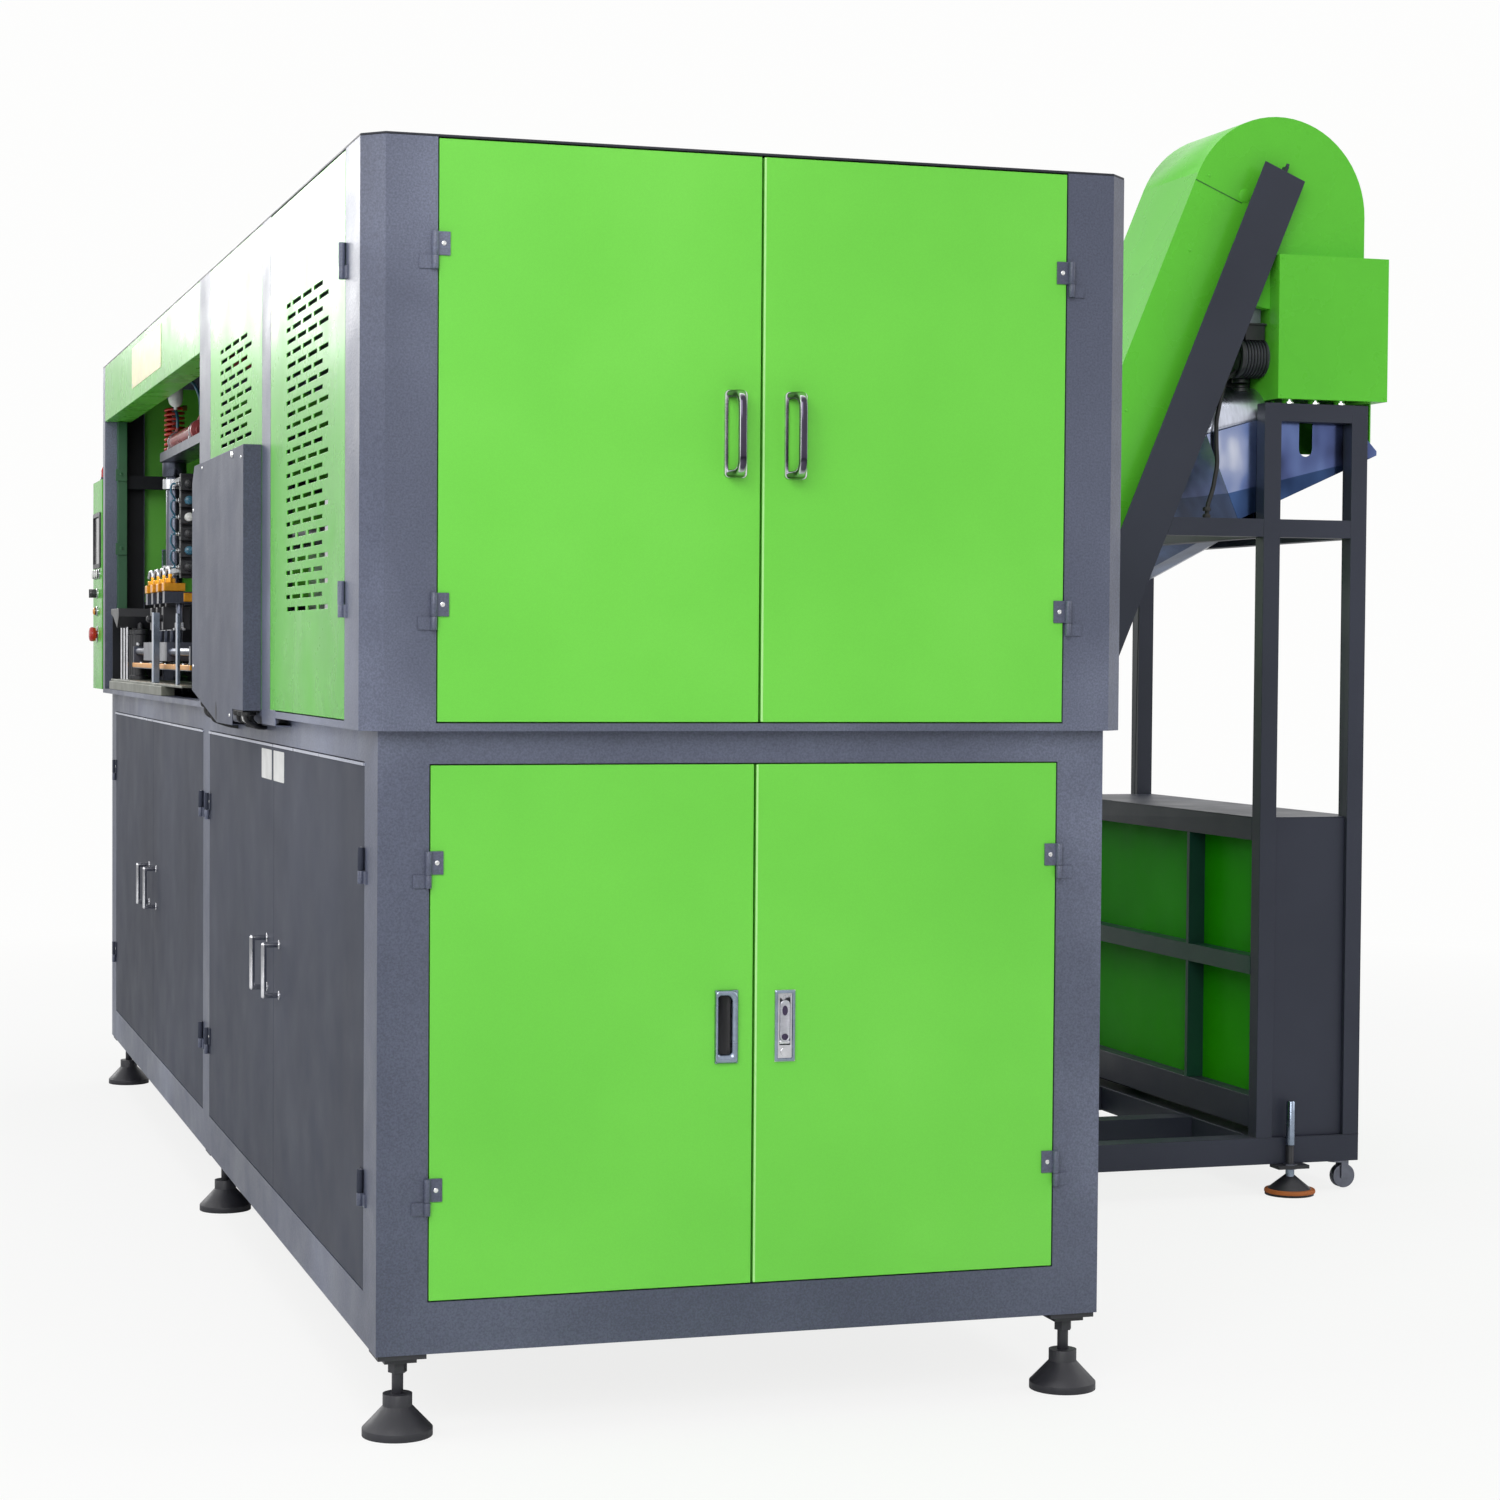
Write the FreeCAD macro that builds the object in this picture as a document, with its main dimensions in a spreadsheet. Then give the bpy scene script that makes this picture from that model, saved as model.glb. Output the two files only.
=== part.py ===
"""Linear stretch-blow moulding machine with the elevator that feeds it preforms.

Millimetres, +Z up.  While it is being built the machine stands with the left side of its
lower frame on x = 0, the front of the lower frame on y = 0 and the floor on z = 0; the
finished pieces are then moved so that the origin is the centre of the footprint.
"""
import FreeCAD, Part
import math
import os
import re

import Sketcher

Vector = FreeCAD.Vector

SIZES = {
    # the two cabinets
    "cabinet_width": 1200,
    "cabinet_length": 4070,
    "floor_gap": 132,
    "lower_height": 957,
    "deck_thickness": 3,
    "upper_height": 899,
    "overhang": 29,
    "corner_cut": 33,
    "roof_thickness": 4,
    "tube_wall": 4,
    "sheet": 2,
    # lower frame
    "post_width": 80,
    "post_depth": 111,
    "bottom_rail": 80,
    "top_rail": 48,
    "rail_depth": 60,
    "middle_post_start": 1966,
    "middle_post_width": 109,
    # upper frame
    "upper_post_width": 84,
    "upper_post_depth": 130,
    "far_post_depth": 90,
    "post_leg": 40,
    "upper_post_two": 908,
    "upper_post_two_width": 105,
    "upper_post_one": 1740,
    "upper_post_one_width": 175,
    "sill_height": 12,
    "upper_rail": 50,
    "cross_bar": 30,
    "cross_bar_height": 1660,
    # doors and fixed panels
    "door_depth": 22,
    "door_gap": 2,
    "panel_gap": 0.3,
    "upper_split": 600,
    "lower_split": 603,
    "side_split_near": 1052,
    "side_split_far": 3047,
    "slot_length": 90,
    "slot_height": 7,
    "slot_pitch": 112,
    "slot_rise": 42,
    "slots_in_row": 4,
    "slots_bottom": 1281,
    "slot_row_pairs": 13,
    "vent_slots_start": 287,
    "panel_slots_start": 1150,
    "header_height": 151,
    "header_return": 70,
    # hinges
    "knuckle_radius": 5,
    "hinge_pin_radius": 2.5,
    "pin_clearance": 0.05,
    "hinge_stand": 6,
    "upper_knuckle": 36,
    "lower_knuckle": 20,
    "knuckle_gap": 0.5,
    "leaf_width": 24,
    "leaf_thickness": 3,
    "upper_hinge_high": 1792,
    "upper_hinge_low": 1246,
    "lower_hinge_high": 851,
    "lower_hinge_low": 347,
    "vent_hinge_high": 1789,
    "vent_hinge_low": 1265,
    # handles and latch
    "pull_width": 24,
    "pull_height": 138,
    "pull_reach": 45,
    "pull_bar": 12,
    "pull_plate": 3,
    "pull_corner": 12,
    "pull_foot": 1487,
    "pull_offset": 50,
    "cup_width": 38,
    "cup_height": 116,
    "cup_depth": 18,
    "cup_rim": 4,
    "cup_proud": 5,
    "cup_foot": 566,
    "cup_offset": 46,
    "latch_width": 34,
    "latch_height": 114,
    "latch_proud": 4,
    "latch_depth": 16,
    "latch_offset": 34,
    "lever_width": 17,
    "lever_height": 60,
    "lever_thickness": 4,
    "lock_radius": 7,
    "bow_height": 103,
    "bow_reach": 34,
    "bow_radius": 5,
    "bow_foot": 576,
    "bow_to_split": 75,
    # junction box on the left side
    "junction_start": 1016,
    "junction_length": 749,
    "junction_bottom": 1072,
    "junction_height": 518,
    "junction_reach": 34,
    "junction_low_run": 390,
    "junction_low_rise": 58,
    "junction_high_cut": 34,
    "junction_notch_width": 141,
    "junction_notch_height": 30,
    # levelling feet
    "foot_pad_radius": 55,
    "foot_rim": 12,
    "foot_cone": 34,
    "foot_boss_radius": 23,
    "foot_boss": 19,
    "foot_stem_radius": 9,
    "foot_nut_radius": 15,
    "foot_nut": 18,
    "foot_plate": 8,
    "foot_plate_side": 76,
    "foot_inset": 42,
    # elevator frame
    "elevator_left": 2297,
    "elevator_width": 258,
    "elevator_front": 1590,
    "elevator_depth": 1170,
    "elevator_base_left": 1300,
    "elevator_tube": 40,
    "elevator_wall": 3,
    "base_bar": 60,
    "base_lift": 68,
    "lower_ring": 150,
    "lower_ring_height": 70,
    "lid_ring": 800,
    "lid_ring_height": 50,
    "middle_ring": 1484,
    "head_ring": 1744,
    "panel_recess": 12,
    "brace_level": 496,
    "brace_thickness": 12,
    "brace_start": 320,
    # inclined conveyor
    "lean": 22.5,
    "head_x": 2345,
    "head_z": 2213,
    "head_radius": 216,
    "trunk_right": 15,
    "trunk_foot": 227,
    "trunk_thickness": 290,
    "beam_width": 107,
    "beam_top": 80,
    "chute_bottom": 1695,
    "chute_width": 245,
    "chute_inset": 12,
    "drum_offset": 92,
    "drum_radius": 60,
    "drum_gap": 0.3,
    "shaft_radius": 12,
    "tail_clearance": 110,
    "belt_thickness": 4,
    "cleat_height": 22,
    "cleat_thickness": 4,
    "cleats_in_run": 11,
    "housing_sheet": 3,
    "cover_left": 2326,
    "cover_width": 274,
    "cover_height": 322,
    "cover_depth": 140,
    "cover_reach": 5,
    "cover_pad": 10,
    "gear_plate": 8,
    "gear_width": 110,
    "gear_depth": 90,
    "gear_height": 110,
    "motor_radius": 42,
    "motor_height": 96,
    "motor_reach": 71,
    # preform sorter, hopper and rail
    "pan_left": 2172,
    "pan_width": 428,
    "pan_depth": 340,
    "pan_low": 1522,
    "pan_height": 226,
    "pan_rise": 154,
    "pan_flare": 81,
    "pan_shoulder": 127,
    "pan_side_height": 190,
    "pan_corner": 60,
    "pan_lip": 10,
    "pan_slot_left": 231,
    "pan_slot_low": 163,
    "pan_slot_width": 33,
    "pan_mouth_low": 122,
    "pan_mouth_height": 84,
    "trough_slope": 12,
    "trough_length": 716,
    "trough_front_height": 1528,
    "trough_height": 96,
    "trough_floor": 30,
    "bulkhead": 4,
    "journal_radius": 8,
    "roller_radius": 24,
    "roller_spacing": 76,
    "hopper_left": 1380,
    "hopper_length": 560,
    "hopper_width": 520,
    "hopper_mouth": 148,
    "hopper_leg": 30,
    "hopper_bottom": 230,
    "hopper_height": 470,
    "hopper_neck": 160,
    "rail_setback": 140,
    "rail_gap": 34,
    "rail_strip": 6,
    "rail_strip_height": 34,
    "rail_slope": 9,
    "rail_high": 1436,
    "infeed_margin": 60,
    "infeed_height": 90,
    # caster
    "caster_x": 2515,
    "caster_wheel_radius": 27,
    "caster_wheel_width": 20,
    "caster_axle_radius": 4,
    "caster_trail": 16,
    "caster_crown": 4,
    "caster_clear": 3,
    # blowing station, placed along its clamp bed, and oven
    "column_radius": 22,
    "column_inset": 120,
    "column_near": 260,
    "column_far": 1335,
    "column_top": 1711,
    "top_beam_width": 76,
    "top_beam_thickness": 24,
    "clamp_plate": 34,
    "clamp_back": 320,
    "clamp_length": 1450,
    "platen_thickness": 60,
    "platen_start": 450,
    "platen_length": 700,
    "platen_height": 420,
    "platen_inset": 250,
    "carrier_thickness": 40,
    "tie_radius": 26,
    "mould_thickness": 110,
    "mould_length": 520,
    "mould_height": 300,
    "cavity_radius": 38,
    "cavity_height": 230,
    "cavity_pitch": 125,
    "cavities": 4,
    "carriage_height": 1560,
    "carriage_width": 120,
    "carriage_thickness": 40,
    "stretch_radius": 7,
    "stretch_length": 60,
    "bridge_width": 200,
    "mast_radius": 14,
    "mast_top": 1860,
    "transfer_x": 14,
    "transfer_width": 76,
    "transfer_start": 120,
    "transfer_length": 1240,
    "transfer_rise": 38,
    "transfer_plate": 10,
    "transfer_block": 26,
    "transfer_rod_radius": 9,
    "transfer_rod_height": 34,
    "slider_start": 580,
    "slider_length": 520,
    "slider_height": 46,
    "arm_post_radius": 8,
    "arm_post_height": 96,
    "arm_height": 28,
    "arm_width": 40,
    "arm_reach": 96,
    "coil_radius": 24,
    "coil_tube": 8,
    "coil_pitch": 13,
    "coil_turns": 9,
    "air_cylinder_radius": 26,
    "air_cylinder_length": 520,
    "oven_start": 420,
    "oven_left": 150,
    "oven_width": 900,
    "oven_base": 40,
    "oven_modules": 6,
    "oven_module_pitch": 215,
    "oven_module_length": 180,
    "oven_module_inset": 50,
    "oven_module_width": 120,
    "oven_module_height": 420,
    # electrical panels and operator console
    "electric_plate_y": 300,
    "module_rows": 3,
    "module_columns": 5,
    "module_width": 140,
    "module_depth": 90,
    "module_height": 130,
    "module_gap": 60,
    "console_length": 256,
    "console_bottom": 1101,
    "console_height": 586,
    "console_depth": 180,
    "screen_margin": 40,
    "screen_row": 350,
    "screen_height": 136,
    "screen_depth": 6,
    "button_count": 3,
    "button_pitch": 60,
    "button_row": 323,
    "selector_row": 269,
    "amber_row": 219,
    "stop_row": 154,
    "button_radius": 11,
    "button_reach": 8,
    "selector_reach": 22,
    "stop_radius": 19,
    "stop_reach": 18,
    "stop_head": 12,
    "stop_depth": 30,
}

# heights that many pieces share
LOWER_TOP = "(floor_gap + lower_height)"
UPPER_BOTTOM = "(floor_gap + lower_height + deck_thickness)"
UPPER_TOP = "(floor_gap + lower_height + deck_thickness + upper_height)"
UPPER_LEFT = "(0 - overhang)"
UPPER_RIGHT = "(cabinet_width + overhang)"
FACE_TURN = {"front": 0, "left": -90, "right": 90, "rear": 180}

# a sketch's lines and circles are first drawn about this size, and its constraints then set them
DRAWN = 50

# the preform rail starts at the sorter trough's left wall and rests in the right side's infeed
TROUGH_HALF = "(elevator_width / 2 - elevator_tube - drum_gap)"
TROUGH_MIDDLE = "(elevator_left + elevator_width / 2)"
RAIL_RIGHT = f"({TROUGH_MIDDLE} - {TROUGH_HALF} - drum_gap)"
RAIL_AT_PANEL = f"(rail_high - ({RAIL_RIGHT} - {UPPER_RIGHT}) * tan(rail_slope * 1 deg) - 1)"

doc = FreeCAD.newDocument("blow_moulding_machine")
sheet = doc.addObject("Spreadsheet::Sheet", "dims")
for row, (size_name, size_value) in enumerate(SIZES.items(), start=1):
    sheet.set(f"A{row}", size_name)
    sheet.set(f"B{row}", str(size_value))
    sheet.setAlias(f"B{row}", size_name)
doc.recompute()

nodes = []


# ---------------------------------------------------------------- binding helpers

def linked(text):
    """An expression in which each size's name points at its cell."""
    def to_cell(word):
        return f"dims.{word.group()}" if word.group() in SIZES else word.group()
    return re.sub(r"[A-Za-z_]+", to_cell, str(text))


def read(name):
    """A size's value, read back from its cell."""
    return float(getattr(sheet, name))


def bind(item, **expressions):
    for prop, text in expressions.items():
        item.setExpression(prop, linked(text))
    return item


def place(item, at, turn=0, axis=Vector(0, 0, 1)):
    """Stand an item at a bound point, turned by a fixed angle about an axis."""
    item.Placement = FreeCAD.Placement(Vector(), FreeCAD.Rotation(axis, turn))
    for letter, where in zip("xyz", at):
        item.setExpression(f"Placement.Base.{letter}", linked(where))
    return item


# ---------------------------------------------------------------- solids from primitives

def box(name, at, size):
    solid = doc.addObject("Part::Box", name)
    bind(solid, Length=size[0], Width=size[1], Height=size[2])
    return place(solid, at)


def rod(name, at, radius, length, along="z"):
    """A round bar from a point along one axis."""
    solid = doc.addObject("Part::Cylinder", name)
    bind(solid, Radius=radius, Height=length)
    turns = {"x": (90, Vector(0, 1, 0)), "y": (-90, Vector(1, 0, 0)), "z": (0, Vector(0, 0, 1))}
    turn, axis = turns[along]
    return place(solid, at, turn, axis)


def ball(name, at, radius):
    solid = doc.addObject("Part::Sphere", name)
    bind(solid, Radius=radius)
    return place(solid, at)


def cut(name, base, *tools):
    result = doc.addObject("Part::Cut", name)
    result.Base = base
    result.Tool = tools[0] if len(tools) == 1 else group(name + "_tools", *tools)
    return result


def fuse(name, *parts):
    result = doc.addObject("Part::MultiFuse", name)
    result.Shapes = list(parts)
    return result


def group(name, *parts):
    result = doc.addObject("Part::Compound", name)
    result.Links = list(parts)
    return result


def copy_of(source, name, at, turn=0, axis=Vector(0, 0, 1)):
    """One more of a repeated piece."""
    link = doc.addObject("App::Link", name)
    link.LinkedObject = source
    return place(link, at, turn, axis)


def tube(name, at, size, along, wall="tube_wall"):
    """A rectangular tube with open ends."""
    inner_at = [where if letter == along else f"{where} + {wall}" for letter, where in zip("xyz", at)]
    inner_size = [side if letter == along else f"{side} - 2 * {wall}" for letter, side in zip("xyz", size)]
    return cut(name, box(name + "_outside", at, size), box(name + "_inside", inner_at, inner_size))


def node(label, *parts):
    """A named piece of the machine, or a group of like pieces that share a name."""
    piece = group(label, *parts)
    piece.Label = label
    nodes.append(piece)
    return piece


# ---------------------------------------------------------------- solids from sketches

def new_body(name, at=("0", "0", "0"), turn=0, axis=Vector(0, 0, 1)):
    return place(doc.addObject("PartDesign::Body", name), at, turn, axis)


def sketch_on(body, plane, name, offset="0"):
    sketch = body.newObject("Sketcher::SketchObject", name)
    role = plane + "_Plane"
    sketch.AttachmentSupport = [(item, "") for item in body.Origin.OriginFeatures if item.Role == role]
    sketch.MapMode = "FlatFace"
    sketch.setExpression("AttachmentOffset.Base.z", linked(offset))
    return sketch


def hold(sketch, line, point, across, up):
    """Fix a point of a sketch at bound distances from the sketch's origin."""
    for kind, distance in (("DistanceX", across), ("DistanceY", up)):
        index = sketch.addConstraint(Sketcher.Constraint(kind, -1, 1, line, point, 1.0))
        sketch.setExpression(f"Constraints[{index}]", linked(distance))


def outline(sketch, corners):
    """A closed outline of straight lines through bound corners."""
    count = len(corners)
    first = sketch.GeometryCount
    angles = [2 * math.pi * corner / count for corner in range(count + 1)]
    ring = [Vector(DRAWN * math.cos(angle), DRAWN * math.sin(angle), 0) for angle in angles]
    for start, end in zip(ring[:-1], ring[1:]):
        sketch.addGeometry(Part.LineSegment(start, end), False)
    for corner in range(count):
        following = first + (corner + 1) % count
        sketch.addConstraint(Sketcher.Constraint("Coincident", first + corner, 2, following, 1))
    for corner, (across, up) in enumerate(corners):
        hold(sketch, first + corner, 1, across, up)


def rectangle(sketch, left, bottom, width, height):
    right = f"{left} + {width}"
    top = f"{bottom} + {height}"
    outline(sketch, [(left, bottom), (right, bottom), (right, top), (left, top)])


def disc(sketch, across, up, radius):
    index = sketch.addGeometry(Part.Circle(Vector(0, 0, 0), Vector(0, 0, 1), DRAWN), False)
    hold(sketch, index, 3, across, up)
    size = sketch.addConstraint(Sketcher.Constraint("Radius", index, DRAWN))
    sketch.setExpression(f"Constraints[{size}]", linked(radius))


def pad(body, sketch, length, back=False):
    feature = body.newObject("PartDesign::Pad", sketch.Name + "_pad")
    feature.Profile = sketch
    feature.Reversed = back
    return bind(feature, Length=length)


def pocket(body, sketch, length, back=False):
    feature = body.newObject("PartDesign::Pocket", sketch.Name + "_pocket")
    feature.Profile = sketch
    feature.Reversed = back
    return bind(feature, Length=length)


def pan(name, face, at, width, height, holes=()):
    """A folded sheet pan: a face with a return flange all round.

    The pan is drawn with its face on the front, and turned to the side of the machine that
    it closes.  Each hole is a (left, bottom, width, height) in the face.
    """
    body = new_body(name, at, FACE_TURN[face])
    blank = sketch_on(body, "XZ", name + "_blank")
    rectangle(blank, "0", "0", width, height)
    pad(body, blank, "door_depth", back=True)
    hollow = sketch_on(body, "XZ", name + "_hollow", "0 - sheet")
    rectangle(hollow, "sheet", "sheet", f"{width} - 2 * sheet", f"{height} - 2 * sheet")
    pocket(body, hollow, "door_depth")
    for number, hole in enumerate(holes):
        window = sketch_on(body, "XZ", f"{name}_window_{number}")
        rectangle(window, *hole)
        pocket(body, window, "door_depth")
    return body


def slotted(body, start, bottom, pairs, step):
    """Punch staggered rows of ventilation slots through a pan's face.

    A pair of rows is drawn once and repeated up the face.  The second row is shifted by half
    a pitch and ends in a half slot.  start is where the slots begin, and step is +1 or -1 for
    the way they run across the pan.
    """
    rows = sketch_on(body, "XZ", body.Name + "_slots")
    count = int(read("slots_in_row"))
    for row in range(2):
        low = f"{bottom} + {row} * slot_rise / 2"
        for number in range(count):
            shift = f"{number} * slot_pitch + {row} * slot_pitch / 2"
            last = row == 1 and number == count - 1
            length = "(slot_length / 2)" if last else "slot_length"
            left = f"{start} + {step} * ({shift})"
            if step < 0:
                left = f"{left} - {length}"
            rectangle(rows, left, low, length, "slot_height")
    punched = pocket(body, rows, "door_depth")
    doc.recompute()
    pattern = body.newObject("PartDesign::LinearPattern", body.Name + "_rows")
    pattern.Originals = [punched]
    pattern.Direction = (rows, ["V_Axis"])
    pattern.Occurrences = int(read(pairs))
    bind(pattern, Length=f"({pairs} - 1) * slot_rise")
    body.Tip = pattern
    return body


# ---------------------------------------------------------------- lower cabinet

def lower_frame():
    """Welded rectangular tube under the whole machine, with the deck sheet welded on top."""
    rear_post = "cabinet_length - post_depth"
    right_post = "cabinet_width - post_width"
    right_rail = "cabinet_width - rail_depth"
    clear_width = "cabinet_width - 2 * post_width"
    near_bay = "middle_post_start - post_depth"
    far_start = "middle_post_start + middle_post_width"
    far_bay = f"cabinet_length - post_depth - ({far_start})"
    rows = (("bottom", "floor_gap", "bottom_rail"), ("top", f"{LOWER_TOP} - top_rail", "top_rail"))
    parts = []
    for name, x, y in (("front_left", "0", "0"), ("front_right", right_post, "0"),
                       ("rear_left", "0", rear_post), ("rear_right", right_post, rear_post)):
        size = ("post_width", "post_depth", "lower_height")
        parts.append(tube(f"lower_post_{name}", (x, y, "floor_gap"), size, "z"))
    for name, x in (("left", "0"), ("right", right_rail)):
        size = ("rail_depth", "middle_post_width", "lower_height")
        parts.append(tube(f"lower_post_middle_{name}", (x, "middle_post_start", "floor_gap"), size, "z"))
    for level, low, tall in rows:
        for name, y in (("front", "0"), ("rear", "cabinet_length - rail_depth")):
            size = (clear_width, "rail_depth", tall)
            parts.append(tube(f"{name}_{level}_rail", ("post_width", y, low), size, "x"))
        for name, x in (("left", "0"), ("right", right_rail)):
            near = (x, "post_depth", low)
            far = (x, far_start, low)
            parts.append(tube(f"{name}_near_{level}_rail", near, ("rail_depth", near_bay, tall), "y"))
            parts.append(tube(f"{name}_far_{level}_rail", far, ("rail_depth", far_bay, tall), "y"))
        middle = ("rail_depth", "middle_post_start", low)
        size = ("cabinet_width - 2 * rail_depth", "middle_post_width", tall)
        parts.append(tube(f"middle_{level}_rail", middle, size, "x"))
    parts.append(box("deck", ("0", "0", LOWER_TOP), ("cabinet_width", "cabinet_length", "deck_thickness")))
    return node("lower_frame", *parts)


def lower_panels():
    """Plain folded panels that close the right side and the rear of the lower cabinet."""
    low = "floor_gap + bottom_rail + panel_gap"
    height = "lower_height - bottom_rail - top_rail - 2 * panel_gap"
    near_width = "middle_post_start - post_depth - 2 * panel_gap"
    far_start = "middle_post_start + middle_post_width + panel_gap"
    far_width = f"cabinet_length - post_depth - panel_gap - ({far_start})"
    rear_width = "cabinet_width - 2 * post_width - 2 * panel_gap"
    near_at = ("cabinet_width", "post_depth + panel_gap", low)
    near = pan("lower_right_near", "right", near_at, near_width, height)
    far = pan("lower_right_far", "right", ("cabinet_width", far_start, low), far_width, height)
    rear_at = ("cabinet_width - post_width - panel_gap", "cabinet_length", low)
    rear = pan("lower_rear", "rear", rear_at, rear_width, height)
    return node("lower_panels", near, far, rear)


# ---------------------------------------------------------------- upper cabinet

def corner_post(name, x_way, y_way, depth):
    """A folded corner post with a 45-degree outer corner, drawn from the outer corner inwards."""
    x_corner = UPPER_LEFT if x_way > 0 else UPPER_RIGHT
    y_corner = "0 - overhang" if y_way > 0 else "cabinet_length"
    width = "(upper_post_width + overhang)"
    body = new_body(name, (x_corner, y_corner, UPPER_BOTTOM))
    section = sketch_on(body, "XY", name + "_section")
    outside = (("0", "corner_cut"), ("corner_cut", "0"), (width, "0"), (width, "post_leg"),
               ("post_leg", "post_leg"), ("post_leg", depth), ("0", depth))
    fold = "0.414 * tube_wall"
    inside = (("tube_wall", f"corner_cut + {fold}"), (f"corner_cut + {fold}", "tube_wall"),
              (f"{width} - tube_wall", "tube_wall"), (f"{width} - tube_wall", "post_leg - tube_wall"),
              ("post_leg - tube_wall", "post_leg - tube_wall"),
              ("post_leg - tube_wall", f"{depth} - tube_wall"), ("tube_wall", f"{depth} - tube_wall"))
    for ring in (outside, inside):
        outline(section, [(f"{x_way} * ({x})", f"{y_way} * ({y})") for x, y in ring])
    pad(body, section, "upper_height")
    return body


def upper_frame():
    """Posts, sills and rails of the cabinet above the deck."""
    near_depth = "(upper_post_depth + overhang)"
    far_depth = "far_post_depth"
    parts = [corner_post("upper_post_front_left", 1, 1, near_depth),
             corner_post("upper_post_front_right", -1, 1, near_depth),
             corner_post("upper_post_rear_left", 1, -1, far_depth),
             corner_post("upper_post_rear_right", -1, -1, far_depth)]
    for side, x in (("left", UPPER_LEFT), ("right", f"{UPPER_RIGHT} - post_leg")):
        for name, start, width in (("two", "upper_post_two", "upper_post_two_width"),
                                   ("one", "upper_post_one", "upper_post_one_width")):
            size = ("post_leg", width, "upper_height")
            parts.append(tube(f"upper_post_{name}_{side}", (x, start, UPPER_BOTTOM), size, "z"))
    bays = (("near", "upper_post_depth", "upper_post_two"),
            ("middle", "upper_post_two + upper_post_two_width", "upper_post_one"),
            ("far", "upper_post_one + upper_post_one_width", "cabinet_length - far_post_depth"))
    for side, sill_x, rail_x in (("left", UPPER_LEFT, f"{UPPER_LEFT} + door_depth"),
                                 ("right", f"{UPPER_RIGHT} - post_leg", f"{UPPER_RIGHT} - post_leg")):
        for bay, start, end in bays:
            length = f"{end} - ({start})"
            sill_size = ("post_leg", length, "sill_height")
            parts.append(box(f"{bay}_sill_{side}", (sill_x, start, UPPER_BOTTOM), sill_size))
            rail_at = (rail_x, start, f"{UPPER_TOP} - upper_rail")
            rail_size = ("post_leg - door_depth", length, "upper_rail")
            parts.append(tube(f"{bay}_top_rail_{side}", rail_at, rail_size, "y"))
    clear = "cabinet_width - 2 * upper_post_width"
    inner_depth = "post_leg - door_depth"
    front = "door_depth - overhang"
    rear = "cabinet_length - post_leg"
    parts.append(box("front_sill", ("upper_post_width", "0 - overhang", UPPER_BOTTOM),
                     (clear, "post_leg", "sill_height")))
    parts.append(box("rear_sill", ("upper_post_width", "cabinet_length - post_leg", UPPER_BOTTOM),
                     (clear, "post_leg", "sill_height")))
    for name, y in (("front", front), ("rear", rear)):
        at = ("upper_post_width", y, f"{UPPER_TOP} - upper_rail")
        parts.append(tube(f"{name}_top_rail", at, (clear, inner_depth, "upper_rail"), "x"))
    cross_at = ("post_leg - overhang", "cabinet_length - far_post_depth", "cross_bar_height")
    cross_size = ("cabinet_width - 2 * (post_leg - overhang)", "cross_bar", "cross_bar")
    parts.append(tube("far_cross_bar", cross_at, cross_size, "x"))
    return node("upper_frame", *parts)


def roof_panel():
    """Flat roof sheet with the cabinet's cut corners."""
    body = new_body("roof", (UPPER_LEFT, "0 - overhang", UPPER_TOP))
    width = "(cabinet_width + 2 * overhang)"
    length = "(cabinet_length + overhang)"
    shape = sketch_on(body, "XY", "roof_outline")
    outline(shape, [("corner_cut", "0"), (f"{width} - corner_cut", "0"), (width, "corner_cut"),
                    (width, f"{length} - corner_cut"), (f"{width} - corner_cut", length),
                    ("corner_cut", length), ("0", f"{length} - corner_cut"), ("0", "corner_cut")])
    pad(body, shape, "roof_thickness")
    return node("roof_panel", body)


def header_panel():
    """Folded header above the blowing station's opening, with returns at its top and foot."""
    bottom = f"{UPPER_TOP} - header_height"
    start = "upper_post_one + upper_post_one_width + panel_gap"
    body = new_body("header", (UPPER_LEFT, start, bottom))
    section = sketch_on(body, "XZ", "header_section")
    top = "header_height - sheet"
    outline(section, [("0", "0"), ("header_return", "0"), ("header_return", "sheet"), ("sheet", "sheet"),
                      ("sheet", top), ("door_depth", top), ("door_depth", "header_height"),
                      ("0", "header_height")])
    pad(body, section, f"cabinet_length - far_post_depth - panel_gap - ({start})", back=True)
    return node("header_panel", body)


def side_vent_panel():
    """Fixed panel with ventilation slots beside the junction box."""
    start = "upper_post_two + upper_post_two_width + panel_gap"
    end = "upper_post_one - panel_gap"
    low = f"{UPPER_BOTTOM} + sill_height + panel_gap"
    height = "upper_height - sill_height - panel_gap"
    body = pan("vent_panel", "left", (UPPER_LEFT, end, low), f"{end} - ({start})", height)
    slotted(body, f"{end} - panel_slots_start", f"slots_bottom - ({low})", "slot_row_pairs", -1)
    return node("side_vent_panel", body)


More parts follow.
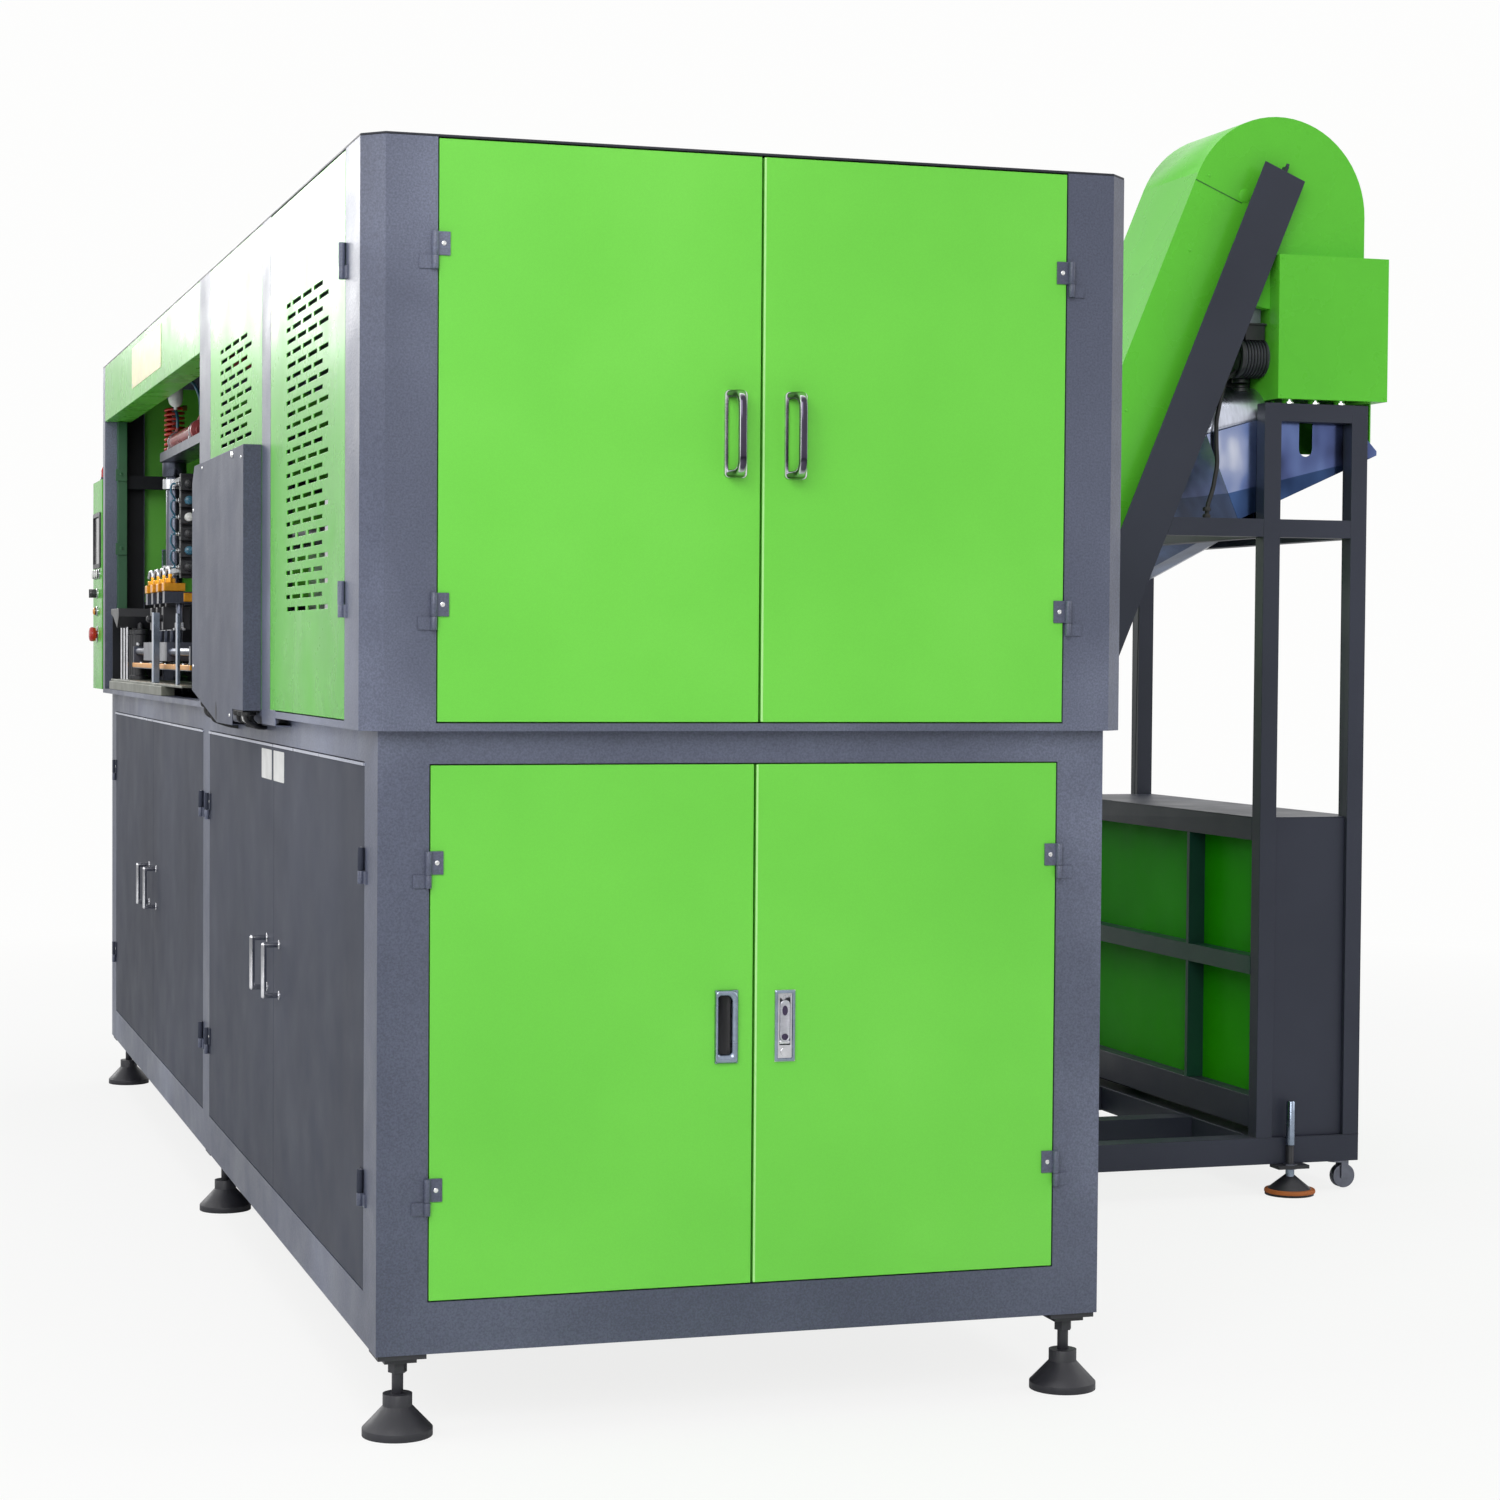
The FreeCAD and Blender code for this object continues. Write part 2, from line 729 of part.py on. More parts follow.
def upper_panels():
    """Plain folded panels on the right side and the rear of the upper cabinet."""
    low = f"{UPPER_BOTTOM} + sill_height + panel_gap"
    height = "upper_height - sill_height - panel_gap"
    bays = (("near", "upper_post_depth", "upper_post_two"),
            ("middle", "upper_post_two + upper_post_two_width", "upper_post_one"),
            ("far", "upper_post_one + upper_post_one_width", "cabinet_length - far_post_depth"))
    parts = []
    for bay, start, end in bays:
        at = (UPPER_RIGHT, f"{start} + panel_gap", low)
        infeed = (f"{RAIL_Y} - infeed_margin - upper_post_one - upper_post_one_width",
                  f"{RAIL_AT_PANEL} - ({low})", "2 * infeed_margin", "infeed_height")
        holes = [infeed] if bay == "far" else []
        width = f"{end} - ({start}) - 2 * panel_gap"
        parts.append(pan(f"upper_right_{bay}", "right", at, width, height, holes))
    rear_at = ("cabinet_width - upper_post_width - panel_gap", "cabinet_length", low)
    rear_width = "cabinet_width - 2 * upper_post_width - 2 * panel_gap"
    parts.append(pan("upper_rear", "rear", rear_at, rear_width, height))
    return node("upper_panels", *parts)


# ---------------------------------------------------------------- hinges

def hinge_half(name, way, moving):
    """Half of a lift-off hinge whose axis is the local Z axis, drawn for a front door.

    way is +1 where the door lies to the right of the axis.  The fixed half carries the pin
    and the lower knuckle, and the moving half has the upper knuckle, bored to turn on it.
    """
    bottom = "lower_knuckle + knuckle_gap" if moving else "0"
    height = "upper_knuckle" if moving else "lower_knuckle"
    leaf_way = way if moving else -way
    leaf_x = "0" if leaf_way > 0 else "0 - leaf_width"
    leaf = box(name + "_leaf", (leaf_x, "hinge_stand - leaf_thickness", bottom),
               ("leaf_width", "leaf_thickness", height))
    knuckle = rod(name + "_knuckle", ("0", "0", bottom), "knuckle_radius", height)
    if moving:
        solid = fuse(name + "_solid", leaf, knuckle)
        bore = rod(name + "_bore", ("0", "0", bottom), "hinge_pin_radius + pin_clearance", height)
        return cut(name, solid, bore)
    pin = rod(name + "_pin", ("0", "0", "0"), "hinge_pin_radius",
              "lower_knuckle + knuckle_gap + upper_knuckle - pin_clearance")
    return fuse(name, leaf, knuckle, pin)


# name of the door, its hinge line (x, y), which way the door lies, and the hinge heights
HINGE_LINES = {
    "upper_left_door": ("upper_post_width - knuckle_radius", "0 - overhang - hinge_stand", "front", 1,
                        ("upper_hinge_low", "upper_hinge_high")),
    "upper_right_door": ("cabinet_width - upper_post_width + knuckle_radius",
                         "0 - overhang - hinge_stand", "front", -1,
                         ("upper_hinge_low", "upper_hinge_high")),
    "lower_left_door": ("post_width - door_gap", "0 - hinge_stand", "front", 1,
                        ("lower_hinge_low", "lower_hinge_high")),
    "lower_right_door": ("cabinet_width - post_width + door_gap", "0 - hinge_stand", "front", -1,
                         ("lower_hinge_low", "lower_hinge_high")),
    "side_door_1": ("0 - hinge_stand", "cabinet_length - post_depth + door_gap", "left", 1,
                    ("lower_hinge_low", "lower_hinge_high")),
    "side_door_2": ("0 - hinge_stand", "middle_post_start + middle_post_width - door_gap", "left", -1,
                    ("lower_hinge_low", "lower_hinge_high")),
    "side_door_3": ("0 - hinge_stand", "middle_post_start + door_gap", "left", 1,
                    ("lower_hinge_low", "lower_hinge_high")),
    "side_door_4": ("0 - hinge_stand", "post_depth - door_gap", "left", -1,
                    ("lower_hinge_low", "lower_hinge_high")),
    "vent_door": ("0 - overhang - hinge_stand", "upper_post_depth - door_gap", "left", -1,
                  ("vent_hinge_low", "vent_hinge_high")),
}


def hinges():
    """The moving hinge halves of each door, by door, and the node of all the fixed halves."""
    halves = {}
    for way in (1, -1):
        side = "right" if way > 0 else "left"
        halves[way, True] = hinge_half(f"moving_half_{side}", way, True)
        halves[way, False] = hinge_half(f"fixed_half_{side}", way, False)
    moving = {}
    fixed = []
    for door, (x, y, face, way, heights) in HINGE_LINES.items():
        moving[door] = []
        for number, low in enumerate(heights):
            at = (x, y, low)
            turn = FACE_TURN[face]
            moving[door].append(copy_of(halves[way, True], f"{door}_hinge_{number}", at, turn))
            fixed.append(copy_of(halves[way, False], f"{door}_pivot_{number}", at, turn))
    node("hinge_pivots", *fixed)
    return moving


# ---------------------------------------------------------------- doors

def front_doors(moving_halves):
    """The four doors of the front, with their hinge leaves, pulls and latch."""
    upper_low = f"{UPPER_BOTTOM} + sill_height + door_gap"
    upper_height = "upper_height - sill_height - 2 * door_gap"
    lower_low = "floor_gap + bottom_rail + door_gap"
    lower_height = "lower_height - bottom_rail - top_rail - 2 * door_gap"
    upper_face = "0 - overhang"
    left_start = "upper_post_width + door_gap"
    right_start = "upper_split + door_gap"
    left = pan("upper_left_door_pan", "front", (left_start, upper_face, upper_low),
               f"upper_split - door_gap - ({left_start})", upper_height)
    right = pan("upper_right_door_pan", "front", (right_start, upper_face, upper_low),
                f"cabinet_width - upper_post_width - door_gap - ({right_start})", upper_height)
    cup_left = "lower_split - cup_offset - cup_width / 2 + cup_rim"
    cup_hole = (f"{cup_left} - post_width - door_gap", f"cup_foot + cup_rim - ({lower_low})",
                "cup_width - 2 * cup_rim", "cup_height - 2 * cup_rim")
    latch_hole = ("latch_offset + cup_rim - door_gap", f"cup_foot + cup_rim - ({lower_low})",
                  "latch_width - 2 * cup_rim", "latch_height - 2 * cup_rim")
    lower_left = pan("lower_left_door_pan", "front", ("post_width + door_gap", "0", lower_low),
                     "lower_split - 2 * door_gap - post_width", lower_height, [cup_hole])
    lower_right = pan("lower_right_door_pan", "front", ("lower_split + door_gap", "0", lower_low),
                      "cabinet_width - post_width - lower_split - 2 * door_gap", lower_height, [latch_hole])
    node("upper_left_door", left)
    node("upper_right_door", right)
    node("lower_left_door", lower_left)
    node("lower_right_door", lower_right)
    for door in ("upper_left_door", "upper_right_door", "lower_left_door", "lower_right_door"):
        node(door + "_hinges", *moving_halves[door])


def pull(name, at):
    """A cast pull: a ring plate on the door and a bow standing out from it."""
    body = new_body(name, at)
    plate = sketch_on(body, "XZ", name + "_plate")
    rim = "(pull_bar / 3)"
    rectangle(plate, "0", "0", "pull_width", "pull_height")
    rectangle(plate, rim, "pull_bar", f"pull_width - 2 * {rim}", "pull_height - 2 * pull_bar")
    pad(body, plate, "pull_plate")
    bow = sketch_on(body, "YZ", name + "_bow")
    inner = "(pull_reach - pull_bar)"
    corner = "pull_corner"
    high = "pull_height"
    outline(bow, [("0", "0"), (f"{corner} - pull_reach", "0"), ("0 - pull_reach", corner),
                  ("0 - pull_reach", f"{high} - {corner}"), (f"{corner} - pull_reach", high), ("0", high),
                  ("0", f"{high} - pull_bar"), (f"{corner} / 2 - {inner}", f"{high} - pull_bar"),
                  (f"0 - {inner}", f"{high} - pull_bar - {corner} / 2"),
                  (f"0 - {inner}", f"pull_bar + {corner} / 2"),
                  (f"{corner} / 2 - {inner}", "pull_bar"), ("0", "pull_bar")])
    pad(body, bow, "pull_width")
    doc.recompute()
    base = body.Tip
    front = 1 - read("pull_reach")
    edges = [f"Edge{index}" for index, edge in enumerate(base.Shape.Edges, start=1)
             if edge.BoundBox.YMax < front and edge.BoundBox.XLength < 0.01]
    rounded = body.newObject("PartDesign::Fillet", name + "_round")
    rounded.Base = (base, edges)
    bind(rounded, Radius="pull_bar / 3")
    body.Tip = rounded
    return body


def pulls():
    for side, left in (("left", "upper_split - pull_offset - pull_width / 2"),
                       ("right", "upper_split + pull_offset - pull_width / 2")):
        node(f"upper_{side}_pull", pull(f"pull_{side}", (left, "0 - overhang", "pull_foot")))


def sunk_shell(name, left, width, height, proud, depth):
    """The part of a flush fitting that passes through the door's cutout and stands behind it."""
    inset = "(cup_rim + pin_clearance)"
    at = (f"{left} + {inset}", f"0 - {proud}", f"cup_foot + {inset}")
    return box(name, at, (f"{width} - 2 * {inset}", f"{proud} + {depth}", f"{height} - 2 * {inset}"))


def cup_pull():
    """Recessed pull of the lower left door: a rim on the face and a closed cup behind it."""
    left = "lower_split - cup_offset - cup_width / 2"
    inset = "(cup_rim + sheet)"
    rim = box("cup_rim", (left, "0 - cup_proud", "cup_foot"), ("cup_width", "cup_proud", "cup_height"))
    shell = sunk_shell("cup_shell", left, "cup_width", "cup_height", "cup_proud", "cup_depth")
    hollow = box("cup_hollow", (f"{left} + {inset}", "0 - cup_proud", f"cup_foot + {inset}"),
                 (f"cup_width - 2 * {inset}", "cup_proud + cup_depth - sheet", f"cup_height - 2 * {inset}"))
    return node("recessed_pull", cut("cup", fuse("cup_solid", rim, shell), hollow))


def latch():
    """Flush latch of the lower right door: a plate with a recess, and the lever in it."""
    left = "lower_split + latch_offset"
    middle = f"{left} + latch_width / 2"
    gap = "knuckle_gap"
    pin_radius = "lever_thickness / 3"
    plate = box("latch_plate", (left, "0 - latch_proud", "cup_foot"),
                ("latch_width", "latch_proud", "latch_height"))
    shell = sunk_shell("latch_shell", left, "latch_width", "latch_height", "latch_proud", "latch_depth")
    recess_low = "(cup_foot + 3 * cup_rim + 2 * lock_radius)"
    recess_left = f"{middle} - lever_width / 2 - {gap}"
    recess_width = f"lever_width + 2 * {gap}"
    recess = box("latch_recess", (recess_left, "0 - latch_proud", recess_low),
                 (recess_width, "latch_proud + latch_depth - sheet",
                  f"cup_foot + latch_height - 2 * cup_rim - {recess_low}"))
    lock = rod("lock", (middle, "0 - latch_proud - sheet", "cup_foot + 2 * cup_rim + lock_radius"),
               "lock_radius", "latch_proud + sheet", "y")
    pivot_z = f"({recess_low} + lever_thickness + {gap})"
    pin = rod("latch_pin", (recess_left, "0", pivot_z), pin_radius, recess_width, "x")
    case = cut("latch_case", fuse("latch_solid", plate, shell), recess)
    node("flush_latch", fuse("latch_body", case, lock, pin))
    lever_left = f"{middle} - lever_width / 2"
    blade = box("lever_blade", (lever_left, "0 - lever_thickness / 2", pivot_z),
                ("lever_width", "lever_thickness", "lever_height"))
    barrel = rod("lever_barrel", (lever_left, "0", pivot_z), "lever_thickness", "lever_width", "x")
    bore_radius = f"{pin_radius} + pin_clearance"
    bore = rod("lever_bore", (lever_left, "0", pivot_z), bore_radius, "lever_width", "x")
    node("latch_lever", cut("lever", fuse("lever_solid", blade, barrel), bore))


def bow_handle():
    """A bent round bar: two legs, the grip and rounded corners, standing out towards -X."""
    reach = "0 - bow_reach + bow_radius"
    parts = [rod("bow_grip", (reach, "0", "bow_radius"), "bow_radius", "bow_height - 2 * bow_radius")]
    for name, height in (("foot", "bow_radius"), ("head", "bow_height - bow_radius")):
        at = (reach, "0", height)
        parts.append(rod(f"bow_{name}_leg", at, "bow_radius", "bow_reach - bow_radius", "x"))
        parts.append(ball(f"bow_{name}_bend", at, "bow_radius"))
    return fuse("bow", *parts)


def side_doors(moving_halves):
    """The four doors of the left side, each a pan with its hinge halves welded on."""
    low = "floor_gap + bottom_rail + door_gap"
    height = "lower_height - bottom_rail - top_rail - 2 * door_gap"
    far_bay = "middle_post_start + middle_post_width + door_gap"
    edges = {1: ("side_split_far + door_gap / 2", "cabinet_length - post_depth - door_gap"),
             2: (far_bay, "side_split_far - door_gap / 2"),
             3: ("side_split_near + door_gap / 2", "middle_post_start - door_gap"),
             4: ("post_depth + door_gap", "side_split_near - door_gap / 2")}
    handle_at = {1: "side_split_far + bow_to_split", 2: "side_split_far - bow_to_split",
                 3: "side_split_near + bow_to_split", 4: "side_split_near - bow_to_split"}
    bow = bow_handle()
    for number, (start, end) in edges.items():
        door = f"side_door_{number}"
        leaf = pan(door + "_pan", "left", ("0", end, low), f"{end} - ({start})", height)
        node(door, leaf, *moving_halves[door])
        node(f"{door}_handle", copy_of(bow, f"{door}_bow", ("0", handle_at[number], "bow_foot")))


def vent_door(moving_halves):
    """Slotted door beside the front corner post, hung on two weld-on hinges."""
    start = "upper_post_depth + door_gap"
    end = "upper_post_two - door_gap"
    low = f"{UPPER_BOTTOM} + sill_height + door_gap"
    height = "upper_height - sill_height - 2 * door_gap"
    body = pan("vent_door_pan", "left", (UPPER_LEFT, end, low), f"{end} - ({start})", height)
    slotted(body, f"{end} - vent_slots_start", f"slots_bottom - ({low})", "slot_row_pairs", -1)
    return node("vent_door", body, *moving_halves["vent_door"])


# ---------------------------------------------------------------- junction box and feet

def junction_box():
    """Sheet box on the left side, open to the back.

    Its far end has two cut corners, and a notch at the near foot lets the cables out.
    """
    body = new_body("junction", (UPPER_LEFT, "junction_start", "junction_bottom"))
    length = "junction_length"
    height = "junction_height"

    def ring(inset):
        right = f"{length} - {inset}"
        top = f"{height} - {inset}"
        return [(inset, inset), (f"{length} - junction_low_run", inset),
                (right, f"junction_low_rise + {inset}"),
                (right, f"{height} - junction_high_cut"), (f"{length} - junction_high_cut", top),
                (inset, top)]
    outer = sketch_on(body, "YZ", "junction_outline")
    outline(outer, ring("0"))
    pad(body, outer, "junction_reach", back=True)
    inner = sketch_on(body, "YZ", "junction_hollow")
    outline(inner, ring("sheet"))
    pocket(body, inner, "junction_reach - sheet")
    notch_at = (f"{UPPER_LEFT} - junction_reach - sheet", "junction_start - sheet",
                "junction_bottom - sheet")
    notch = box("junction_notch", notch_at, ("junction_reach + 2 * sheet", "junction_notch_width + sheet",
                                             "junction_notch_height + sheet"))
    return node("junction_box", cut("junction_notched", body, notch))


def foot():
    """One levelling foot below a frame: pad, stem, nut and the plates it screws into."""
    pad_body = new_body("foot_pad")
    half = sketch_on(pad_body, "XZ", "foot_profile")
    top = "foot_rim + foot_cone + foot_boss"
    outline(half, [("0", "0"), ("foot_pad_radius", "0"), ("foot_pad_radius", "foot_rim"),
                   ("foot_boss_radius", "foot_rim + foot_cone"), ("foot_boss_radius", top), ("0", top)])
    turned = pad_body.newObject("PartDesign::Revolution", "foot_turned")
    turned.Profile = half
    turned.ReferenceAxis = (half, ["V_Axis"])
    turned.Angle = 360
    nut = doc.addObject("Part::Prism", "foot_nut_blank")
    nut.Polygon = 6
    bind(nut, Circumradius="foot_nut_radius", Height="foot_nut")
    nut_low = "floor_gap - 2 * foot_plate - foot_nut"
    place(nut, ("0", "0", nut_low))
    stem = rod("foot_stem", ("0", "0", top), "foot_stem_radius", f"floor_gap - ({top})")
    plates = []
    for name, side, low in (("large", "foot_plate_side", "floor_gap - foot_plate"),
                            ("small", "(foot_plate_side / 1.5)", "floor_gap - 2 * foot_plate")):
        corner = f"0 - {side} / 2"
        plates.append(box(f"foot_plate_{name}", (corner, corner, low), (side, side, "foot_plate")))
    return pad_body, fuse("foot_screw", stem, nut, *plates)


def elevator_foot():
    """One foot of the elevator: a pad with a threaded rod through a lug on the base bar."""
    rim = rod("lift_pad", ("0", "0", "0"), "foot_pad_radius", "foot_rim")
    cone = doc.addObject("Part::Cone", "lift_cone")
    bind(cone, Radius1="foot_pad_radius - tube_wall", Radius2="foot_stem_radius", Height="foot_cone")
    place(cone, ("0", "0", "foot_rim"))
    stem = rod("lift_rod", ("0", "0", "0"), "foot_stem_radius", "lower_ring + base_bar")
    lug = box("lift_lug", ("0 - foot_plate_side / 2", "0 - foot_boss_radius", "base_lift - foot_plate"),
              ("foot_plate_side", "2 * foot_boss_radius", "foot_plate"))
    return fuse("lift_foot", rim, cone, stem, lug)


def levelling_feet():
    pad_master, screw_master = foot()
    lift_master = elevator_foot()
    parts = []
    rows = (("near", "foot_inset"), ("middle", "middle_post_start + middle_post_width / 2"),
            ("far", "cabinet_length - foot_inset"))
    for side, x in (("left", "foot_inset"), ("right", "cabinet_width - foot_inset")):
        for row, y in rows:
            parts.append(copy_of(pad_master, f"pad_{side}_{row}", (x, y, "0")))
            parts.append(copy_of(screw_master, f"screw_{side}_{row}", (x, y, "0")))
    reach = "(foot_stem_radius + pin_clearance)"
    front = f"elevator_front - {reach}"
    rear = f"elevator_front + elevator_depth + {reach}"
    right = "elevator_left + 2 * elevator_tube"
    left = "elevator_base_left + elevator_tube"
    for name, x, y in (("front_right", right, front), ("front_left", left, front),
                       ("rear_right", right, rear), ("rear_left", left, rear)):
        parts.append(copy_of(lift_master, f"lift_foot_{name}", (x, y, "0")))
    return node("levelling_feet", *parts)


# ---------------------------------------------------------------- elevator

ELEVATOR_RIGHT = "(elevator_left + elevator_width)"
ELEVATOR_BACK = "(elevator_front + elevator_depth)"
RAIL_Y = f"({ELEVATOR_BACK} - rail_setback)"
BASE_TOP = "(base_lift + base_bar)"
HOUSING_FRONT = "(elevator_front + elevator_tube)"
HOPPER_NEAR = "(elevator_front + 2 * elevator_tube + trunk_thickness)"

# along the incline: the trunk from the head's centre to its foot, and the belt between its drums
TRUNK_LENGTH = "((head_z - trunk_foot) / cos(lean * 1 deg))"
BELT_SPAN = f"({TRUNK_LENGTH} - tail_clearance)"

# the drive's cover, and the motor's axis inside it
COVER_BOTTOM = "(head_ring + elevator_tube + cover_pad)"
COVER_BACK = "(elevator_front - cover_reach + cover_depth)"
MOTOR_Y = f"({COVER_BACK} - housing_sheet - gear_plate - gear_depth / 2)"
MOTOR_Z = f"({COVER_BOTTOM} + motor_height)"

# the mouth of the trunk, beside the rear beam, as seen along the incline
MOUTH_X = "(housing_sheet - head_radius)"
MOUTH_WIDTH = "(head_radius + trunk_right - beam_width - 4 * housing_sheet)"
MOUTH_Z = f"(hopper_mouth - {TRUNK_LENGTH})"


def leaning(name, *parts):
    """Parts drawn about the head's centre, turned so that their Z runs up the incline."""
    result = group(name, *parts)
    place(result, ("head_x", "0", "head_z"), 1, Vector(0, 1, 0))
    result.setExpression("Placement.Rotation.Angle", linked("lean"))
    return result


def elevator_frame():
    """Welded frame of the elevator, its lid and front sheets, and the two inclined beams."""
    wall = "elevator_wall"
    bar = "elevator_tube"
    base = "base_bar"
    right_post = f"{ELEVATOR_RIGHT} - {bar}"
    back_post = f"{ELEVATOR_BACK} - {bar}"
    base_length = f"{ELEVATOR_RIGHT} - elevator_base_left"
    parts = []
    for name, y in (("front", "elevator_front"), ("back", f"{ELEVATOR_BACK} - {base}")):
        at = ("elevator_base_left", y, "base_lift")
        parts.append(tube(f"base_{name}", at, (base_length, base, base), "x", wall))
    for name, x in (("outer", "elevator_base_left"), ("left", "elevator_left"),
                    ("right", f"{ELEVATOR_RIGHT} - {base}")):
        at = (x, f"elevator_front + {base}", "base_lift")
        parts.append(tube(f"base_{name}", at, (base, f"elevator_depth - 2 * {base}", base), "y", wall))
    heights = {"front": f"head_ring + {bar} - {BASE_TOP}", "back": f"middle_ring + {bar} - {BASE_TOP}"}
    for depth, y in (("front", "elevator_front"), ("back", back_post)):
        for side, x in (("left", "elevator_left"), ("right", right_post)):
            at = (x, y, BASE_TOP)
            parts.append(tube(f"post_{depth}_{side}", at, (bar, bar, heights[depth]), "z", wall))
    side_length = f"elevator_depth - 2 * {bar}"
    rings = (("lower", "lower_ring", "lower_ring_height"), ("lid", "lid_ring", "lid_ring_height"),
             ("middle", "middle_ring", bar))
    for ring, low, tall in rings:
        for side, x in (("left", "elevator_left"), ("right", right_post)):
            at = (x, f"elevator_front + {bar}", low)
            parts.append(tube(f"{ring}_ring_{side}", at, (bar, side_length, tall), "y", wall))
        at = (f"elevator_left + {bar}", back_post, low)
        parts.append(tube(f"{ring}_ring_back", at, (f"elevator_width - 2 * {bar}", bar, tall), "x", wall))
    brace_at = ("elevator_left", f"elevator_front + {bar}", "brace_level")
    parts.append(tube("level_brace", brace_at, (bar, side_length, bar), "y", wall))
    for name, low, top in (("low", "lower_ring + lower_ring_height", "brace_level"),
                           ("high", f"brace_level + {bar}", "lid_ring")):
        at = ("elevator_left", f"elevator_front + {bar} + brace_start", low)
        parts.append(box(f"upright_brace_{name}", at, (bar, "brace_thickness", f"{top} - ({low})")))
    for ring, low in (("middle", "middle_ring"), ("head", "head_ring")):
        at = (f"elevator_left + {bar}", "elevator_front", low)
        parts.append(tube(f"{ring}_ring_front", at, (f"elevator_width - 2 * {bar}", bar, bar), "x", wall))
    inner = f"elevator_width - 2 * {bar}"
    parts.append(box("front_sheet", (f"elevator_left + {bar}", "elevator_front + panel_recess", BASE_TOP),
                     (inner, "housing_sheet", f"lid_ring + lid_ring_height - {BASE_TOP}")))
    lid_top = "lid_ring + lid_ring_height"
    parts.append(box("lid_sheet", ("elevator_left", HOUSING_FRONT, lid_top),
                     ("elevator_width", side_length, "housing_sheet")))
    parts.append(box("lid_lip", (f"elevator_left + {bar}", "elevator_front + panel_recess", lid_top),
                     (inner, f"{bar} - panel_recess", "housing_sheet")))
    for name, y in (("near", HOPPER_NEAR), ("far", f"{HOPPER_NEAR} + hopper_width")):
        bar_y = f"{y} - {bar}"
        at = (f"elevator_base_left + {base}", bar_y, "base_lift")
        size = (f"elevator_left - elevator_base_left - {base}", base, base)
        parts.append(tube(f"base_cross_{name}", at, size, "x", wall))
        leg_y = y if name == "near" else f"{y} - hopper_leg"
        for side, x in (("left", "hopper_left"), ("right", "hopper_left + hopper_length - hopper_leg")):
            at = (x, leg_y, BASE_TOP)
            size = ("hopper_leg", "hopper_leg", f"hopper_bottom - {BASE_TOP}")
            parts.append(tube(f"hopper_leg_{name}_{side}", at, size, "z", wall))
    floor_at = ("elevator_base_left - elevator_width", "elevator_front", f"{BASE_TOP} - elevator_width")
    floor_cut = box("beam_floor_cut", floor_at, (f"{ELEVATOR_RIGHT}", "elevator_depth", "elevator_width"))
    beam_low = f"0 - {TRUNK_LENGTH} - beam_width"
    beam_length = f"{TRUNK_LENGTH} + beam_width + beam_top"
    for name, y, web in (("front", "elevator_front", wall),
                         ("back", f"{HOUSING_FRONT} + trunk_thickness", "0")):
        outside = box(f"beam_{name}_outside", ("trunk_right - beam_width", y, beam_low),
                      ("beam_width", bar, beam_length))
        inside = box(f"beam_{name}_inside", (f"trunk_right - beam_width - {wall}", f"{y} + {web}", beam_low),
                     ("beam_width", f"{bar} - {wall}", beam_length))
        angle = leaning(f"beam_{name}_lean", cut(f"beam_{name}_angle", outside, inside))
        parts.append(cut(f"beam_{name}", angle, floor_cut))
    arm_at = ("elevator_left - elevator_width", "elevator_front", "middle_ring")
    arm = tube("middle_arm_blank", arm_at, ("elevator_width", bar, bar), "x", wall)
    beyond = box("arm_end_cut", ("trunk_right - 4 * beam_width", "elevator_front", f"0 - {TRUNK_LENGTH}"),
                 ("4 * beam_width", bar, TRUNK_LENGTH))
    parts.append(cut("middle_arm", arm, leaning("arm_end", beyond)))
    return node("elevator_frame", *parts)


def base_panels():
    """Green sheets that close the foot of the elevator frame."""
    bar = "elevator_tube"
    tall = "lid_ring + lid_ring_height - lower_ring"
    depth = f"elevator_depth - 2 * {bar}"
    front = f"elevator_front + {bar}"
    sheet_x = f"elevator_left + {bar}"
    right = f"{ELEVATOR_RIGHT} - {bar} - housing_sheet"
    back_size = (f"elevator_width - 2 * {bar} - 2 * housing_sheet", "housing_sheet", tall)
    back_at = (f"{sheet_x} + housing_sheet", f"{ELEVATOR_BACK} - {bar} - housing_sheet", "lower_ring")
    return node("base_panels",
                box("left_sheet", (sheet_x, front, "lower_ring"), ("housing_sheet", depth, tall)),
                box("right_sheet", (right, front, "lower_ring"), ("housing_sheet", depth, tall)),
                box("back_sheet", back_at, back_size))


